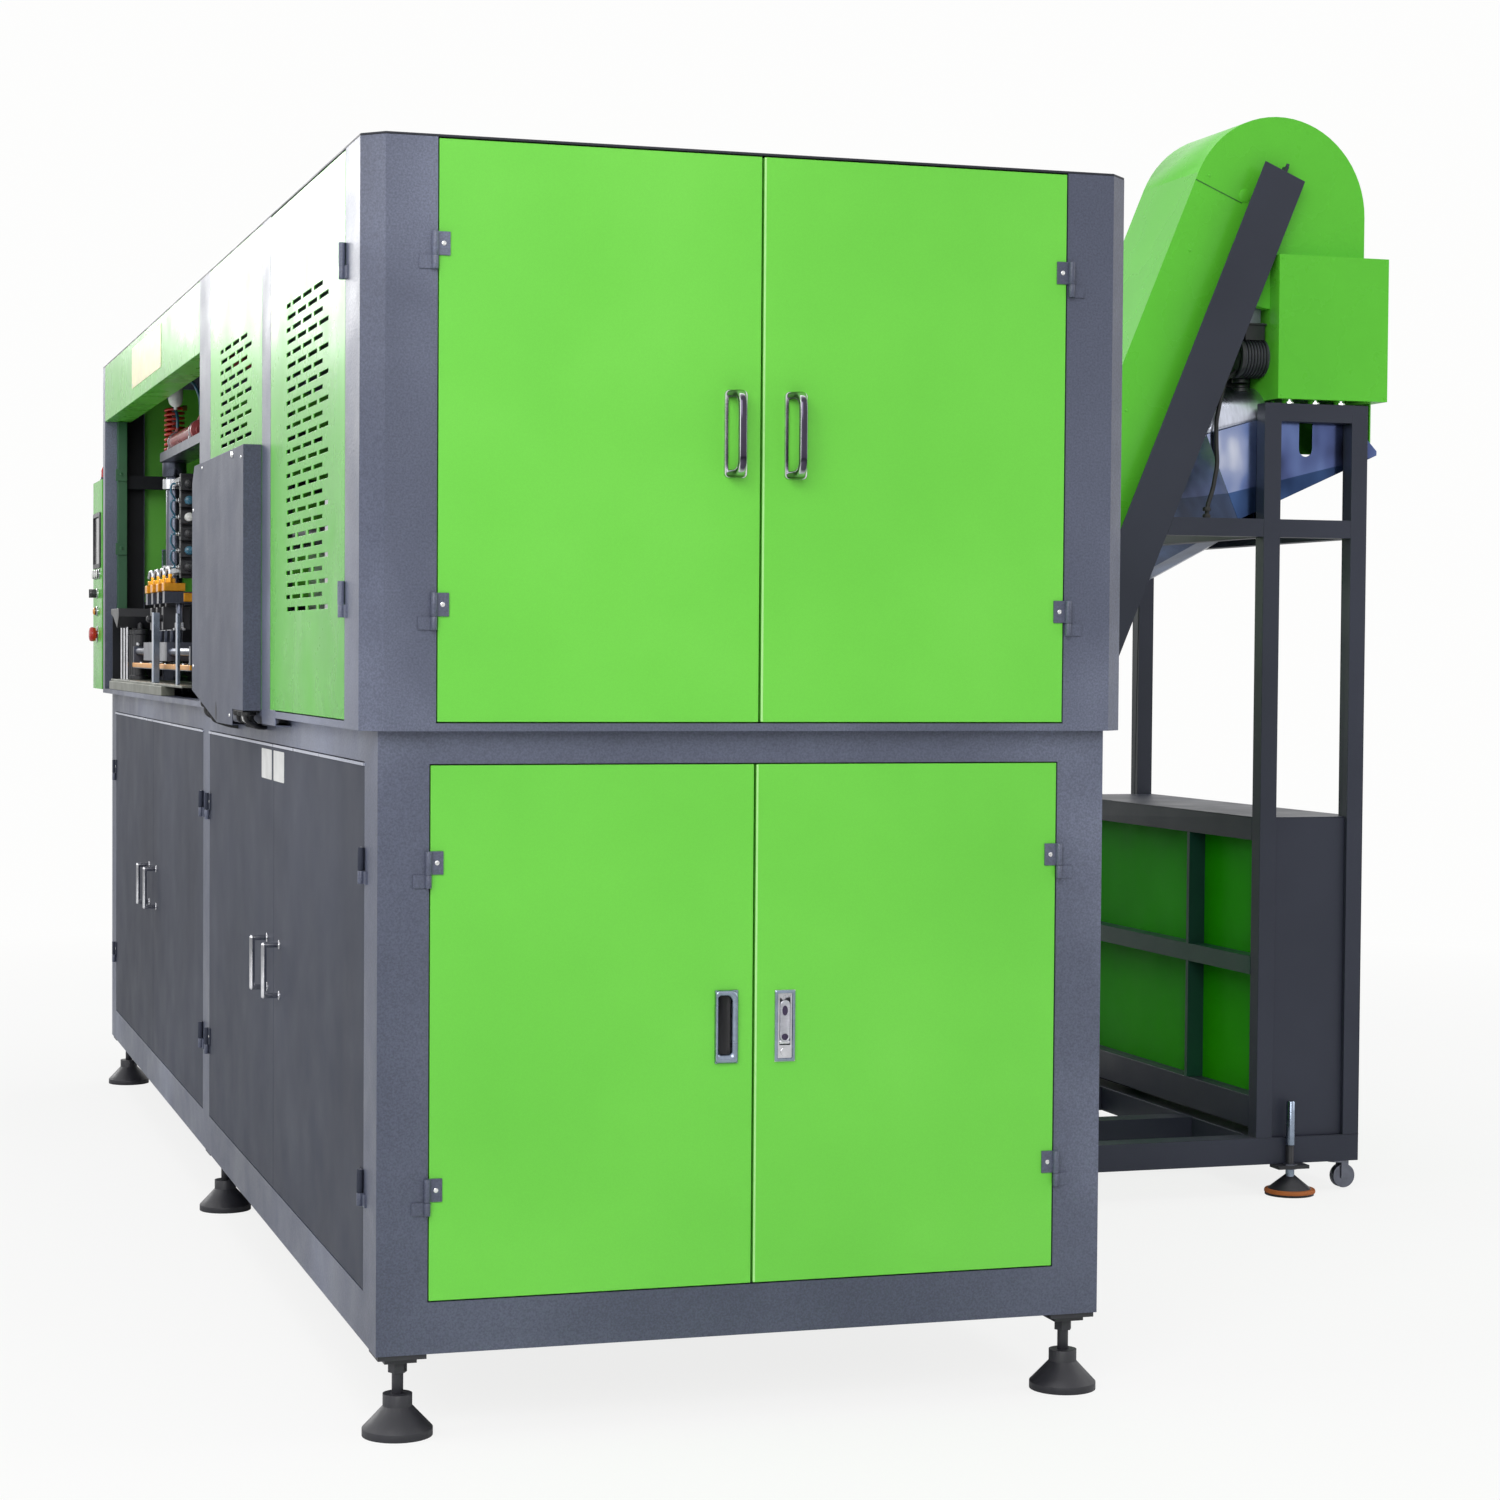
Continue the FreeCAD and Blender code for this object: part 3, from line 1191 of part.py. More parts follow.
def conveyor_housing():
    """Sheet trunk around the inclined belt, and the round head cover with its chute.

    The head's front is open where the cover of the drive stands in it.
    """
    skin = "housing_sheet"
    outer_at = ("0 - head_radius", HOUSING_FRONT, f"0 - {TRUNK_LENGTH}")
    outer_size = ("head_radius + trunk_right", "trunk_thickness", TRUNK_LENGTH)
    inner_depth = f"trunk_thickness - 2 * {skin}"
    inner_at = (f"{skin} - head_radius", f"{HOUSING_FRONT} + {skin}", f"{skin} - {TRUNK_LENGTH}")
    inner_size = (f"head_radius + trunk_right - 2 * {skin}", inner_depth, TRUNK_LENGTH)
    mouth = box("trunk_mouth", (MOUTH_X, f"{HOUSING_FRONT} + trunk_thickness - 2 * {skin}", MOUTH_Z),
                (MOUTH_WIDTH, f"3 * {skin}", "hopper_neck"))
    trunk = cut("trunk", box("trunk_outside", outer_at, outer_size),
                box("trunk_inside", inner_at, inner_size), mouth)
    drum_hole = rod("drum_hole", ("0 - drum_offset", HOUSING_FRONT, "0"),
                    "shaft_radius + drum_gap", "trunk_thickness", "y")
    keep_out = box("trunk_keep_out", outer_at, outer_size)

    disc_outer = rod("head_disc", ("head_x", HOUSING_FRONT, "head_z"), "head_radius",
                     "trunk_thickness", "y")
    disc_inner = rod("head_disc_hollow", ("head_x", f"{HOUSING_FRONT} + {skin}", "head_z"),
                     f"head_radius - {skin}", inner_depth, "y")
    skirt_low = f"({COVER_BOTTOM} + cover_height / 2)"
    skirt_outer = box("skirt_outside", ("head_x", HOUSING_FRONT, skirt_low),
                      ("head_radius", "trunk_thickness", f"head_z - {skirt_low}"))
    skirt_inner = box("skirt_hollow",
                      (f"head_x + {skin}", f"{HOUSING_FRONT} + {skin}", f"{skirt_low} - {skin}"),
                      (f"head_radius - 2 * {skin}", inner_depth, f"head_z - {skirt_low} + {skin}"))
    chute_front = f"({HOUSING_FRONT} + chute_inset)"
    chute_depth = "(trunk_thickness - chute_inset)"
    chute_outer = box("chute_outside", ("head_x", chute_front, "chute_bottom"),
                      ("chute_width", chute_depth, f"{skirt_low} - chute_bottom"))
    chute_inner = box("chute_hollow", (f"head_x + {skin}", chute_front, "chute_bottom"),
                      (f"chute_width - 2 * {skin}", f"{chute_depth} - {skin}",
                       f"{skirt_low} - {skin} - chute_bottom"))
    gap = "panel_gap"
    cover_space = box("head_cover_space",
                      (f"cover_left - {gap}", "elevator_front", f"{COVER_BOTTOM} - {gap}"),
                      (f"cover_width + 2 * {gap}", f"{COVER_BACK} + {gap} - elevator_front",
                       f"cover_height + 2 * {gap}"))
    head = cut("head_shell", fuse("head_outside", disc_outer, skirt_outer, chute_outer),
               fuse("head_inside", disc_inner, skirt_inner, chute_inner), cover_space,
               leaning("head_trunk_space", keep_out), leaning("head_drum_hole", drum_hole))
    trunk_hole = rod("trunk_drum_hole", ("0 - drum_offset", HOUSING_FRONT, "0"),
                     "shaft_radius + drum_gap", "trunk_thickness", "y")
    tail_hole = rod("trunk_tail_hole", ("0 - drum_offset", HOUSING_FRONT, f"0 - {BELT_SPAN}"),
                    "shaft_radius + drum_gap", "trunk_thickness", "y")
    bored = cut("trunk_bored", trunk, trunk_hole, tail_hole)
    return node("conveyor_housing", leaning("trunk_lean", bored), head)


def belt_and_drums():
    """Cleated belt round the head and tail drums, inside the housing."""
    start = f"({HOUSING_FRONT} + 5 * housing_sheet)"
    width = "trunk_thickness - 10 * housing_sheet"
    inner = "(drum_radius + drum_gap)"
    outer = f"({inner} + belt_thickness)"

    def loop(name, radius):
        """The outline of the belt's path, as a solid of any half thickness."""
        return fuse(name,
                    rod(name + "_head", ("0 - drum_offset", start, "0"), radius, width, "y"),
                    rod(name + "_tail", ("0 - drum_offset", start, f"0 - {BELT_SPAN}"), radius, width, "y"),
                    box(name + "_runs", (f"0 - drum_offset - {radius}", start, f"0 - {BELT_SPAN}"),
                        (f"2 * {radius}", width, BELT_SPAN)))
    band = cut("belt_band", loop("belt_outside", outer), loop("belt_inside", inner))
    cleats = []
    for number in range(int(read("cleats_in_run"))):
        height = f"0 - {BELT_SPAN} * ({number} + 0.5) / cleats_in_run"
        for side, x in (("up", f"0 - drum_offset - {outer} - cleat_height"),
                        ("down", f"{outer} - drum_offset - belt_thickness / 2")):
            size = ("cleat_height + belt_thickness / 2", width, "cleat_thickness")
            cleats.append(box(f"cleat_{side}_{number}", (x, start, height), size))
    node("cleated_belt", leaning("belt_lean", fuse("belt", band, *cleats)))
    for name, height in (("head_drum", "0"), ("tail_drum", f"0 - {BELT_SPAN}")):
        at = ("0 - drum_offset", start, height)
        drum = rod(name + "_roll", at, "drum_radius", width, "y")
        shaft_at = ("0 - drum_offset", HOUSING_FRONT, height)
        shaft = rod(name + "_shaft", shaft_at, "shaft_radius", "trunk_thickness", "y")
        node(name, leaning(name + "_lean", fuse(name + "_solid", drum, shaft)))


def motor_cover():
    """Sheet box round the drive, on three feet on the head ring.

    The end of the motor looks out through a round hole in its left side.
    """
    skin = "housing_sheet"
    front = "(elevator_front - cover_reach)"
    outside = box("cover_outside", ("cover_left", front, COVER_BOTTOM),
                  ("cover_width", "cover_depth", "cover_height"))
    inside = box("cover_inside", (f"cover_left + {skin}", f"{front} + {skin}", f"{COVER_BOTTOM} + {skin}"),
                 (f"cover_width - 2 * {skin}", f"cover_depth - 2 * {skin}", f"cover_height - 2 * {skin}"))
    hole = rod("cover_motor_hole", ("cover_left", MOTOR_Y, MOTOR_Z), "motor_radius + drum_gap",
               f"2 * {skin}", "x")
    feet = []
    for number in (1, 2, 3):
        at = (f"elevator_left + {number} * elevator_width / 4", "elevator_front + elevator_tube / 2",
              "head_ring + elevator_tube")
        feet.append(rod(f"cover_foot_{number}", at, "shaft_radius", "cover_pad"))
    return node("motor_cover", fuse("cover", cut("cover_shell", outside, inside, hole), *feet))


def gearmotor():
    """Drive of the elevator inside its cover: a mounting plate, a gearbox and a motor."""
    left = "(cover_left + cover_width / 3)"
    front = f"({COVER_BACK} - housing_sheet - gear_plate)"
    low = f"({MOTOR_Z} - gear_height / 2)"
    plate = box("motor_plate", (f"{left} - gear_plate", front, f"{low} - gear_plate"),
                ("gear_width + 2 * gear_plate", "gear_plate", "gear_height + 2 * gear_plate"))
    gearbox = box("gearbox", (left, f"{front} - gear_depth", low),
                  ("gear_width", "gear_depth", "gear_height"))
    motor = rod("motor", ("cover_left - motor_reach", MOTOR_Y, MOTOR_Z), "motor_radius",
                "motor_reach + cover_width / 3", "x")
    return node("gearmotor", fuse("gearmotor_solid", plate, gearbox, motor))


def sloping(name, *parts):
    """Parts drawn along +Y from the trough's high end, tipped down away from the front."""
    result = group(name, *parts)
    start = (TROUGH_MIDDLE, f"{HOUSING_FRONT} + pan_depth", "trough_front_height")
    place(result, start, 1, Vector(-1, 0, 0))
    result.setExpression("Placement.Rotation.Angle", linked("trough_slope"))
    return result


def feed_pan():
    """Open stainless pan under the chute, its floor falling to the left.

    Its front has a sight slot open at the top, its rear a mouth above the trough, and its low
    right end a cut corner on both.
    """
    body = new_body("pan", ("pan_left", HOUSING_FRONT, "pan_low"))
    skew = "(1.1 * sheet)"
    section = sketch_on(body, "XZ", "pan_section")
    outline(section, [("pan_flare", "0"), ("pan_width", "pan_rise"), ("pan_width", "pan_rise + pan_lip"),
                      ("pan_width - pan_corner", "pan_height"), ("pan_shoulder", "pan_height"),
                      ("0", "pan_side_height")])
    pad(body, section, "pan_depth", back=True)
    hollow = sketch_on(body, "XZ", "pan_hollow", "0 - sheet")
    outline(hollow, [(f"pan_flare + {skew} / 2", f"1.2 * {skew}"),
                     ("pan_width - sheet", f"pan_rise + {skew} / 2"),
                     ("pan_width - sheet", "pan_height + sheet"), (skew, "pan_height + sheet"),
                     (skew, "pan_side_height")])
    pocket(body, hollow, "pan_depth - 2 * sheet")
    slot = sketch_on(body, "XZ", "pan_slot")
    rectangle(slot, "pan_slot_left", "pan_slot_low", "pan_slot_width", "pan_height")
    pocket(body, slot, "2 * sheet")
    slot_end = sketch_on(body, "XZ", "pan_slot_end")
    disc(slot_end, "pan_slot_left + pan_slot_width / 2", "pan_slot_low", "pan_slot_width / 2")
    pocket(body, slot_end, "2 * sheet")
    mouth = sketch_on(body, "XZ", "pan_mouth", "sheet - pan_depth")
    rectangle(mouth, f"{TROUGH_MIDDLE} - {TROUGH_HALF} + sheet - pan_left", "pan_mouth_low",
              f"2 * {TROUGH_HALF} - 2 * sheet", "pan_mouth_height")
    pocket(body, mouth, "2 * sheet")
    return body


def sorter():
    """Feed pan, sloping trough and the two rollers that line the preforms up."""
    body = new_body("trough")
    half = TROUGH_HALF
    skin = "sheet"
    section = sketch_on(body, "XZ", "trough_section")
    floor = "trough_floor"
    outline(section, [(f"0 - {half}", "trough_height"), (f"0 - {half}", floor), ("0 - roller_radius", "0"),
                      ("roller_radius", "0"), (half, floor), (half, "trough_height"),
                      (f"{half} - {skin}", "trough_height"), (f"{half} - {skin}", f"{floor} + {skin} / 2"),
                      (f"roller_radius - {skin} / 2", skin), (f"{skin} / 2 - roller_radius", skin),
                      (f"{skin} - {half}", f"{floor} + {skin} / 2"), (f"{skin} - {half}", "trough_height")])
    pad(body, section, "trough_length", back=True)
    roller_z = "(trough_floor + roller_radius)"
    roll_start = "trough_height"
    roll_length = "(trough_length - 2 * trough_height)"
    ends = []
    journals = []
    for name, y in (("high", "trough_height - bulkhead - knuckle_gap"),
                    ("low", "trough_length - trough_height + knuckle_gap")):
        ends.append(box(f"bulkhead_{name}", (f"sheet / 2 - {half}", y, "trough_floor"),
                        (f"2 * {half} - sheet", "bulkhead", "2 * roller_radius")))
        for side, way in (("left", -1), ("right", 1)):
            journals.append(rod(f"journal_hole_{name}_{side}", (f"{way} * roller_spacing / 2", y, roller_z),
                                "journal_radius + pin_clearance", "bulkhead", "y"))
    trough = cut("trough_bored", fuse("trough_solid", body, *ends), *journals)
    node("sorter_trough", sloping("trough_lean", trough), feed_pan())
    for side, way in (("left", -1), ("right", 1)):
        x = f"{way} * roller_spacing / 2"
        roll = rod(f"roller_{side}_roll", (x, roll_start, roller_z), "roller_radius", roll_length, "y")
        journal = rod(f"roller_{side}_journal", (x, f"{roll_start} - bulkhead - knuckle_gap", roller_z),
                      "journal_radius", f"{roll_length} + 2 * bulkhead + 2 * knuckle_gap", "y")
        solid = fuse(f"roller_{side}", roll, journal)
        node(f"sorter_roller_{side}", sloping(f"roller_{side}_lean", solid))


def loading_hopper():
    """Open hopper beside the conveyor's foot, with a spout into the trunk's mouth."""
    skin = "housing_sheet"
    outside = box("hopper_outside", ("hopper_left", HOPPER_NEAR, "hopper_bottom"),
                  ("hopper_length", "hopper_width", "hopper_height"))
    inside_at = (f"hopper_left + {skin}", f"{HOPPER_NEAR} + {skin}", f"hopper_bottom + {skin}")
    inside = box("hopper_inside", inside_at,
                 (f"hopper_length - 2 * {skin}", f"hopper_width - 2 * {skin}", "hopper_height"))
    spout_front = f"{HOPPER_NEAR} - elevator_tube"
    spout = box("spout_outside", (f"{MOUTH_X} - {skin}", spout_front, f"{MOUTH_Z} - {skin}"),
                (f"{MOUTH_WIDTH} + 2 * {skin}", f"elevator_tube + {skin}", f"hopper_neck + 2 * {skin}"))
    bore = box("spout_inside", (MOUTH_X, spout_front, MOUTH_Z),
               (MOUTH_WIDTH, f"elevator_tube + 2 * {skin}", "hopper_neck"))
    shell = fuse("hopper_solid", outside, leaning("spout_lean", spout))
    return node("loading_hopper", cut("hopper", shell, inside, leaning("spout_bore_lean", bore)))


def preform_rail():
    """Two strips on which the sorted preforms slide down into the machine."""
    length = f"({RAIL_RIGHT} - cabinet_width)"
    strips = []
    for name, y in (("near", f"{RAIL_Y} - rail_gap / 2 - rail_strip"),
                    ("far", f"{RAIL_Y} + rail_gap / 2")):
        strips.append(box(f"rail_{name}", (f"0 - {length}", y, "0"),
                          (length, "rail_strip", "rail_strip_height")))
    result = group("rail_lean", *strips)
    place(result, (RAIL_RIGHT, "0", "rail_high"), 1, Vector(0, -1, 0))
    result.setExpression("Placement.Rotation.Angle", linked("rail_slope"))
    return node("preform_rail", result)


def caster():
    """Swivel caster at the elevator's front right corner, just clear of the floor."""
    x = "caster_x"
    y = "(elevator_front + base_bar / 2)"
    half = "(caster_wheel_width / 2)"
    axle_z = "(caster_clear + caster_wheel_radius)"
    cheek_low = f"({axle_z} - foot_stem_radius / 2)"
    crown_low = "(base_lift - drum_gap - caster_crown)"
    cheek_size = ("2 * foot_stem_radius", "sheet", f"{crown_low} - {cheek_low} + caster_crown / 2")
    wheel_x = f"({x} + caster_trail)"
    fork = [rod("caster_crown", (x, y, crown_low), f"{half} + caster_trail", "caster_crown"),
            rod("caster_axle", (wheel_x, f"{y} - {half} - 2 * sheet", axle_z), "caster_axle_radius",
                f"2 * {half} + 4 * sheet", "y")]
    for name, side in (("near", f"0 - {half} - 2 * sheet"), ("far", f"{half} + sheet")):
        cheek_at = (f"{wheel_x} - foot_stem_radius", f"{y} + {side}", cheek_low)
        fork.append(box(f"caster_cheek_{name}", cheek_at, cheek_size))
    node("caster_fork", fuse("fork", *fork))
    at = (wheel_x, f"{y} - {half}", axle_z)
    tread = rod("caster_tread", at, "caster_wheel_radius", f"2 * {half}", "y")
    bore = rod("caster_bore", at, "caster_axle_radius + pin_clearance", f"2 * {half}", "y")
    node("caster_wheel", cut("wheel", tread, bore))


# ---------------------------------------------------------------- inside the machine

CLAMP_TOP = f"({UPPER_BOTTOM} + clamp_plate)"
CLAMP_Y = "(cabinet_length - clamp_back - clamp_length)"
COLUMN_NEAR_Y = f"({CLAMP_Y} + column_near)"
COLUMN_FAR_Y = f"({CLAMP_Y} + column_far)"
PLATEN_Y = f"({CLAMP_Y} + platen_start)"
TRANSFER_Y = f"({CLAMP_Y} + transfer_start)"
SLIDER_Y = f"({CLAMP_Y} + slider_start)"
TRANSFER_LOW = f"({CLAMP_TOP} + transfer_rise)"
STATION_MIDDLE = f"({PLATEN_Y} + platen_length / 2)"


def tie_bars(name, x, radius, length):
    """The four tie bars' places, as round bars of any radius and length along X."""
    bars = []
    for depth in (0, 1):
        for level in (0, 1):
            across = f"{PLATEN_Y} + 2 * tie_radius + {depth} * (platen_length - 4 * tie_radius)"
            up = f"{CLAMP_TOP} + 2 * tie_radius + {level} * (platen_height - 4 * tie_radius)"
            bars.append(rod(f"{name}_{depth}{level}", (x, across, up), radius, length, "x"))
    return bars


def cavity_rows(middle):
    """The Y of each cavity of a row whose middle is given."""
    return [f"{middle} + ({number} - (cavities - 1) / 2) * cavity_pitch"
            for number in range(int(read("cavities")))]


def clamp_unit():
    """Clamping frame of the blowing station: bed, two end platens and four tie bars."""
    parts = [box("clamp_bed", ("column_inset - top_beam_width / 2", CLAMP_Y, UPPER_BOTTOM),
                 ("cabinet_width - 2 * column_inset + top_beam_width", "clamp_length", "clamp_plate"))]
    for side, x in (("left", "platen_inset - platen_thickness"), ("right", "cabinet_width - platen_inset")):
        parts.append(box(f"platen_{side}", (x, PLATEN_Y, CLAMP_TOP),
                         ("platen_thickness", "platen_length", "platen_height")))
    parts += tie_bars("tie", "platen_inset", "tie_radius", "cabinet_width - 2 * platen_inset")
    return node("clamp_unit", *parts)


def moulds():
    """Two mould halves on carriers that slide on the tie bars, closed on the centre plane."""
    middle = "cabinet_width / 2"
    start = f"{STATION_MIDDLE} - mould_length / 2"
    low = f"{CLAMP_TOP} + (platen_height - mould_height) / 2"
    left_block = f"{middle} - mould_thickness - drum_gap"
    right_block = f"{middle} + drum_gap"
    places = {"left": (left_block, f"{left_block} - carrier_thickness"),
              "right": (right_block, f"{right_block} + mould_thickness")}
    for side, (block_x, carrier_x) in places.items():
        block = box(f"mould_{side}_block", (block_x, start, low),
                    ("mould_thickness", "mould_length", "mould_height"))
        cavity_low = f"{low} + mould_height - cavity_height"
        cavities = [rod(f"mould_{side}_cavity_{number}", (middle, y, cavity_low),
                        "cavity_radius", "cavity_height")
                    for number, y in enumerate(cavity_rows(STATION_MIDDLE))]
        carrier = box(f"carrier_{side}_plate", (carrier_x, PLATEN_Y, f"{CLAMP_TOP} + drum_gap"),
                      ("carrier_thickness", "platen_length", "platen_height"))
        bores = tie_bars(f"carrier_{side}_bore", carrier_x, "tie_radius + drum_gap", "carrier_thickness")
        node(f"mould_half_{side}", cut(f"mould_{side}", block, *cavities),
             cut(f"carrier_{side}", carrier, *bores))


def stretch_unit():
    """Four columns with their top beams, and the carriage with the stretch rods."""
    parts = []
    half = "(top_beam_width / 2)"
    bridge_low = "(column_top + top_beam_thickness)"
    for side, x in (("left", "column_inset"), ("right", "cabinet_width - column_inset")):
        ends = []
        for row, y in (("near", COLUMN_NEAR_Y), ("far", COLUMN_FAR_Y)):
            parts.append(rod(f"column_{side}_{row}", (x, y, CLAMP_TOP), "column_radius",
                             f"column_top - {CLAMP_TOP}"))
            ends.append(rod(f"beam_end_{side}_{row}", (x, y, "column_top"), half, "top_beam_thickness"))
        run = box(f"beam_run_{side}", (f"{x} - {half}", COLUMN_NEAR_Y, "column_top"),
                  ("top_beam_width", f"{COLUMN_FAR_Y} - {COLUMN_NEAR_Y}", "top_beam_thickness"))
        parts.append(fuse(f"top_beam_{side}", *ends, run))
    bridge_x = "(column_inset + air_cylinder_radius + tube_wall)"
    bridge = box("bridge_plate", (bridge_x, f"{STATION_MIDDLE} - bridge_width / 2", bridge_low),
                 (f"cabinet_width - 2 * {bridge_x}", "bridge_width", "top_beam_thickness"))
    bore = rod("bridge_bore", ("cabinet_width / 2", STATION_MIDDLE, bridge_low), "mast_radius + drum_gap",
               "top_beam_thickness")
    node("stretch_columns", *parts, cut("top_bridge", bridge, bore))
    plate_at = ("(cabinet_width - carriage_width) / 2", f"{STATION_MIDDLE} - mould_length / 2",
                "carriage_height")
    plate = box("carriage_plate", plate_at, ("carriage_width", "mould_length", "carriage_thickness"))
    rods = [rod(f"stretch_rod_{number}", ("cabinet_width / 2", y, "carriage_height - stretch_length"),
                "stretch_radius", "stretch_length + carriage_thickness / 2")
            for number, y in enumerate(cavity_rows(STATION_MIDDLE))]
    plate_top = "(carriage_height + carriage_thickness)"
    mast = rod("carriage_mast", ("cabinet_width / 2", STATION_MIDDLE, plate_top), "mast_radius",
               f"mast_top - {plate_top}")
    node("stretch_carriage", fuse("carriage", plate, mast, *rods))


def transfer():
    """Preform transfer along the left side: a plate with two guide rods, and the arms on them."""
    plate_top = f"({TRANSFER_LOW} + transfer_plate)"
    rod_z = f"({plate_top} + transfer_rod_height)"
    block = "transfer_block"
    end = f"{TRANSFER_Y} + transfer_length"
    rails = [box("transfer_base", ("transfer_x", TRANSFER_Y, TRANSFER_LOW),
                 ("transfer_width", "transfer_length", "transfer_plate"))]
    rod_x = {"outer": f"transfer_x + {block} / 2", "inner": f"transfer_x + transfer_width - {block} / 2"}
    for name, y, foot_y in (("near", TRANSFER_Y, TRANSFER_Y),
                            ("far", f"{end} - {block}", f"{end} - 4 * {block}")):
        rails.append(box(f"transfer_foot_{name}", ("column_inset - top_beam_width / 2", foot_y, CLAMP_TOP),
                         (block, block, "transfer_rise")))
        rails.append(box(f"transfer_end_{name}", ("transfer_x", y, plate_top),
                         ("transfer_width", block, f"transfer_rod_height + {block} / 2")))
    for name, x in rod_x.items():
        rails.append(rod(f"transfer_rod_{name}", (x, f"{TRANSFER_Y} + {block}", rod_z),
                         "transfer_rod_radius", f"transfer_length - 2 * {block}", "y"))
    node("transfer_rail", *rails)
    slider_low = f"({rod_z} - slider_height / 2)"
    slider = box("slider_block", ("transfer_x", SLIDER_Y, slider_low),
                 ("transfer_width", "slider_length", "slider_height"))
    bores = [rod(f"slider_bore_{name}", (x, SLIDER_Y, rod_z), "transfer_rod_radius + pin_clearance",
                 "slider_length", "y") for name, x in rod_x.items()]
    arms = []
    slider_top = f"({slider_low} + slider_height)"
    for number, y in enumerate(cavity_rows(f"{SLIDER_Y} + slider_length / 2")):
        arms.append(rod(f"arm_post_{number}", ("transfer_x + transfer_width / 2", y, slider_top),
                        "arm_post_radius", "arm_post_height"))
        arm_at = ("transfer_x", f"{y} - arm_width / 2", f"{slider_top} + arm_post_height")
        arms.append(box(f"arm_{number}", arm_at, ("arm_reach", "arm_width", "arm_height")))
    node("transfer_carriage", cut("slider", slider, *bores), *arms)


def air_hose():
    """Spiral air hose over the far column, and the air cylinder beside it.

    Each quarter turn of the spiral is one arc through three points of the helix, so the tube
    is a single sweep.
    """
    radius = read("coil_radius")
    pitch = read("coil_pitch")
    tube_radius = read("coil_tube") / 2
    quarters = int(4 * read("coil_turns"))

    def point(quarter):
        angle = quarter * math.pi / 2
        return Vector(radius * math.cos(angle), radius * math.sin(angle), pitch * quarter / 4)
    arcs = [Part.Arc(point(q), point(q + 0.5), point(q + 1)).toShape() for q in range(quarters)]
    path = Part.Wire(arcs)
    circle = Part.Circle(point(0), Vector(0, 2 * math.pi * radius, pitch), tube_radius)
    spiral = path.makePipeShell([Part.Wire([circle.toShape()])], True, False)
    coil = doc.addObject("Part::Feature", "coil")
    coil.Shape = spiral
    beam_top = "column_top + top_beam_thickness"
    place(coil, ("column_inset", COLUMN_FAR_Y, f"{beam_top} + coil_tube / 2 + drum_gap"))
    gap = pitch - read("coil_tube")
    print("spiral hose: gap between turns", round(gap, 2), "mm")
    cylinder_at = ("column_inset", f"{COLUMN_FAR_Y} - coil_radius * 2 - air_cylinder_length",
                   f"{beam_top} + air_cylinder_radius")
    cylinder = rod("air_cylinder", cylinder_at, "air_cylinder_radius", "air_cylinder_length", "y")
    return node("air_hose", coil, cylinder)


def oven_bank():
    """Infra-red oven between the front of the machine and the blowing station."""
    parts = [box("oven_base", ("oven_left", "oven_start", UPPER_BOTTOM),
                 ("oven_width", "oven_modules * oven_module_pitch", "oven_base"))]
    sides = (("left", "oven_left + oven_module_inset"),
             ("right", "oven_left + oven_width - oven_module_inset - oven_module_width"))
    for number in range(int(read("oven_modules"))):
        y = f"oven_start + {number} * oven_module_pitch + (oven_module_pitch - oven_module_length) / 2"
        for side, x in sides:
            parts.append(box(f"oven_{side}_{number}", (x, y, f"{UPPER_BOTTOM} + oven_base"),
                             ("oven_module_width", "oven_module_length", "oven_module_height")))
    return node("oven_bank", *parts)


def electric_panel():
    """Mounting plates behind the front doors with rows of switchgear."""
    parts = []
    width = "(cabinet_width - 2 * rail_depth)"
    module = ("module_width", "module_depth", "module_height")
    bays = (("upper", UPPER_BOTTOM, "upper_height - upper_rail"), ("lower", "floor_gap", "lower_height"))
    for bay, low, tall in bays:
        parts.append(box(f"{bay}_plate", ("rail_depth", "electric_plate_y", low),
                         (width, "housing_sheet", tall)))
        for row in range(int(read("module_rows"))):
            for column in range(int(read("module_columns"))):
                x = f"rail_depth + module_gap + {column} * ({width} - module_gap) / module_columns"
                z = f"{low} + 2 * module_gap + {row} * (module_height + 2 * module_gap)"
                at = (x, "electric_plate_y - module_depth", z)
                parts.append(box(f"{bay}_module_{row}_{column}", at, module))
    return node("electric_panel", *parts)


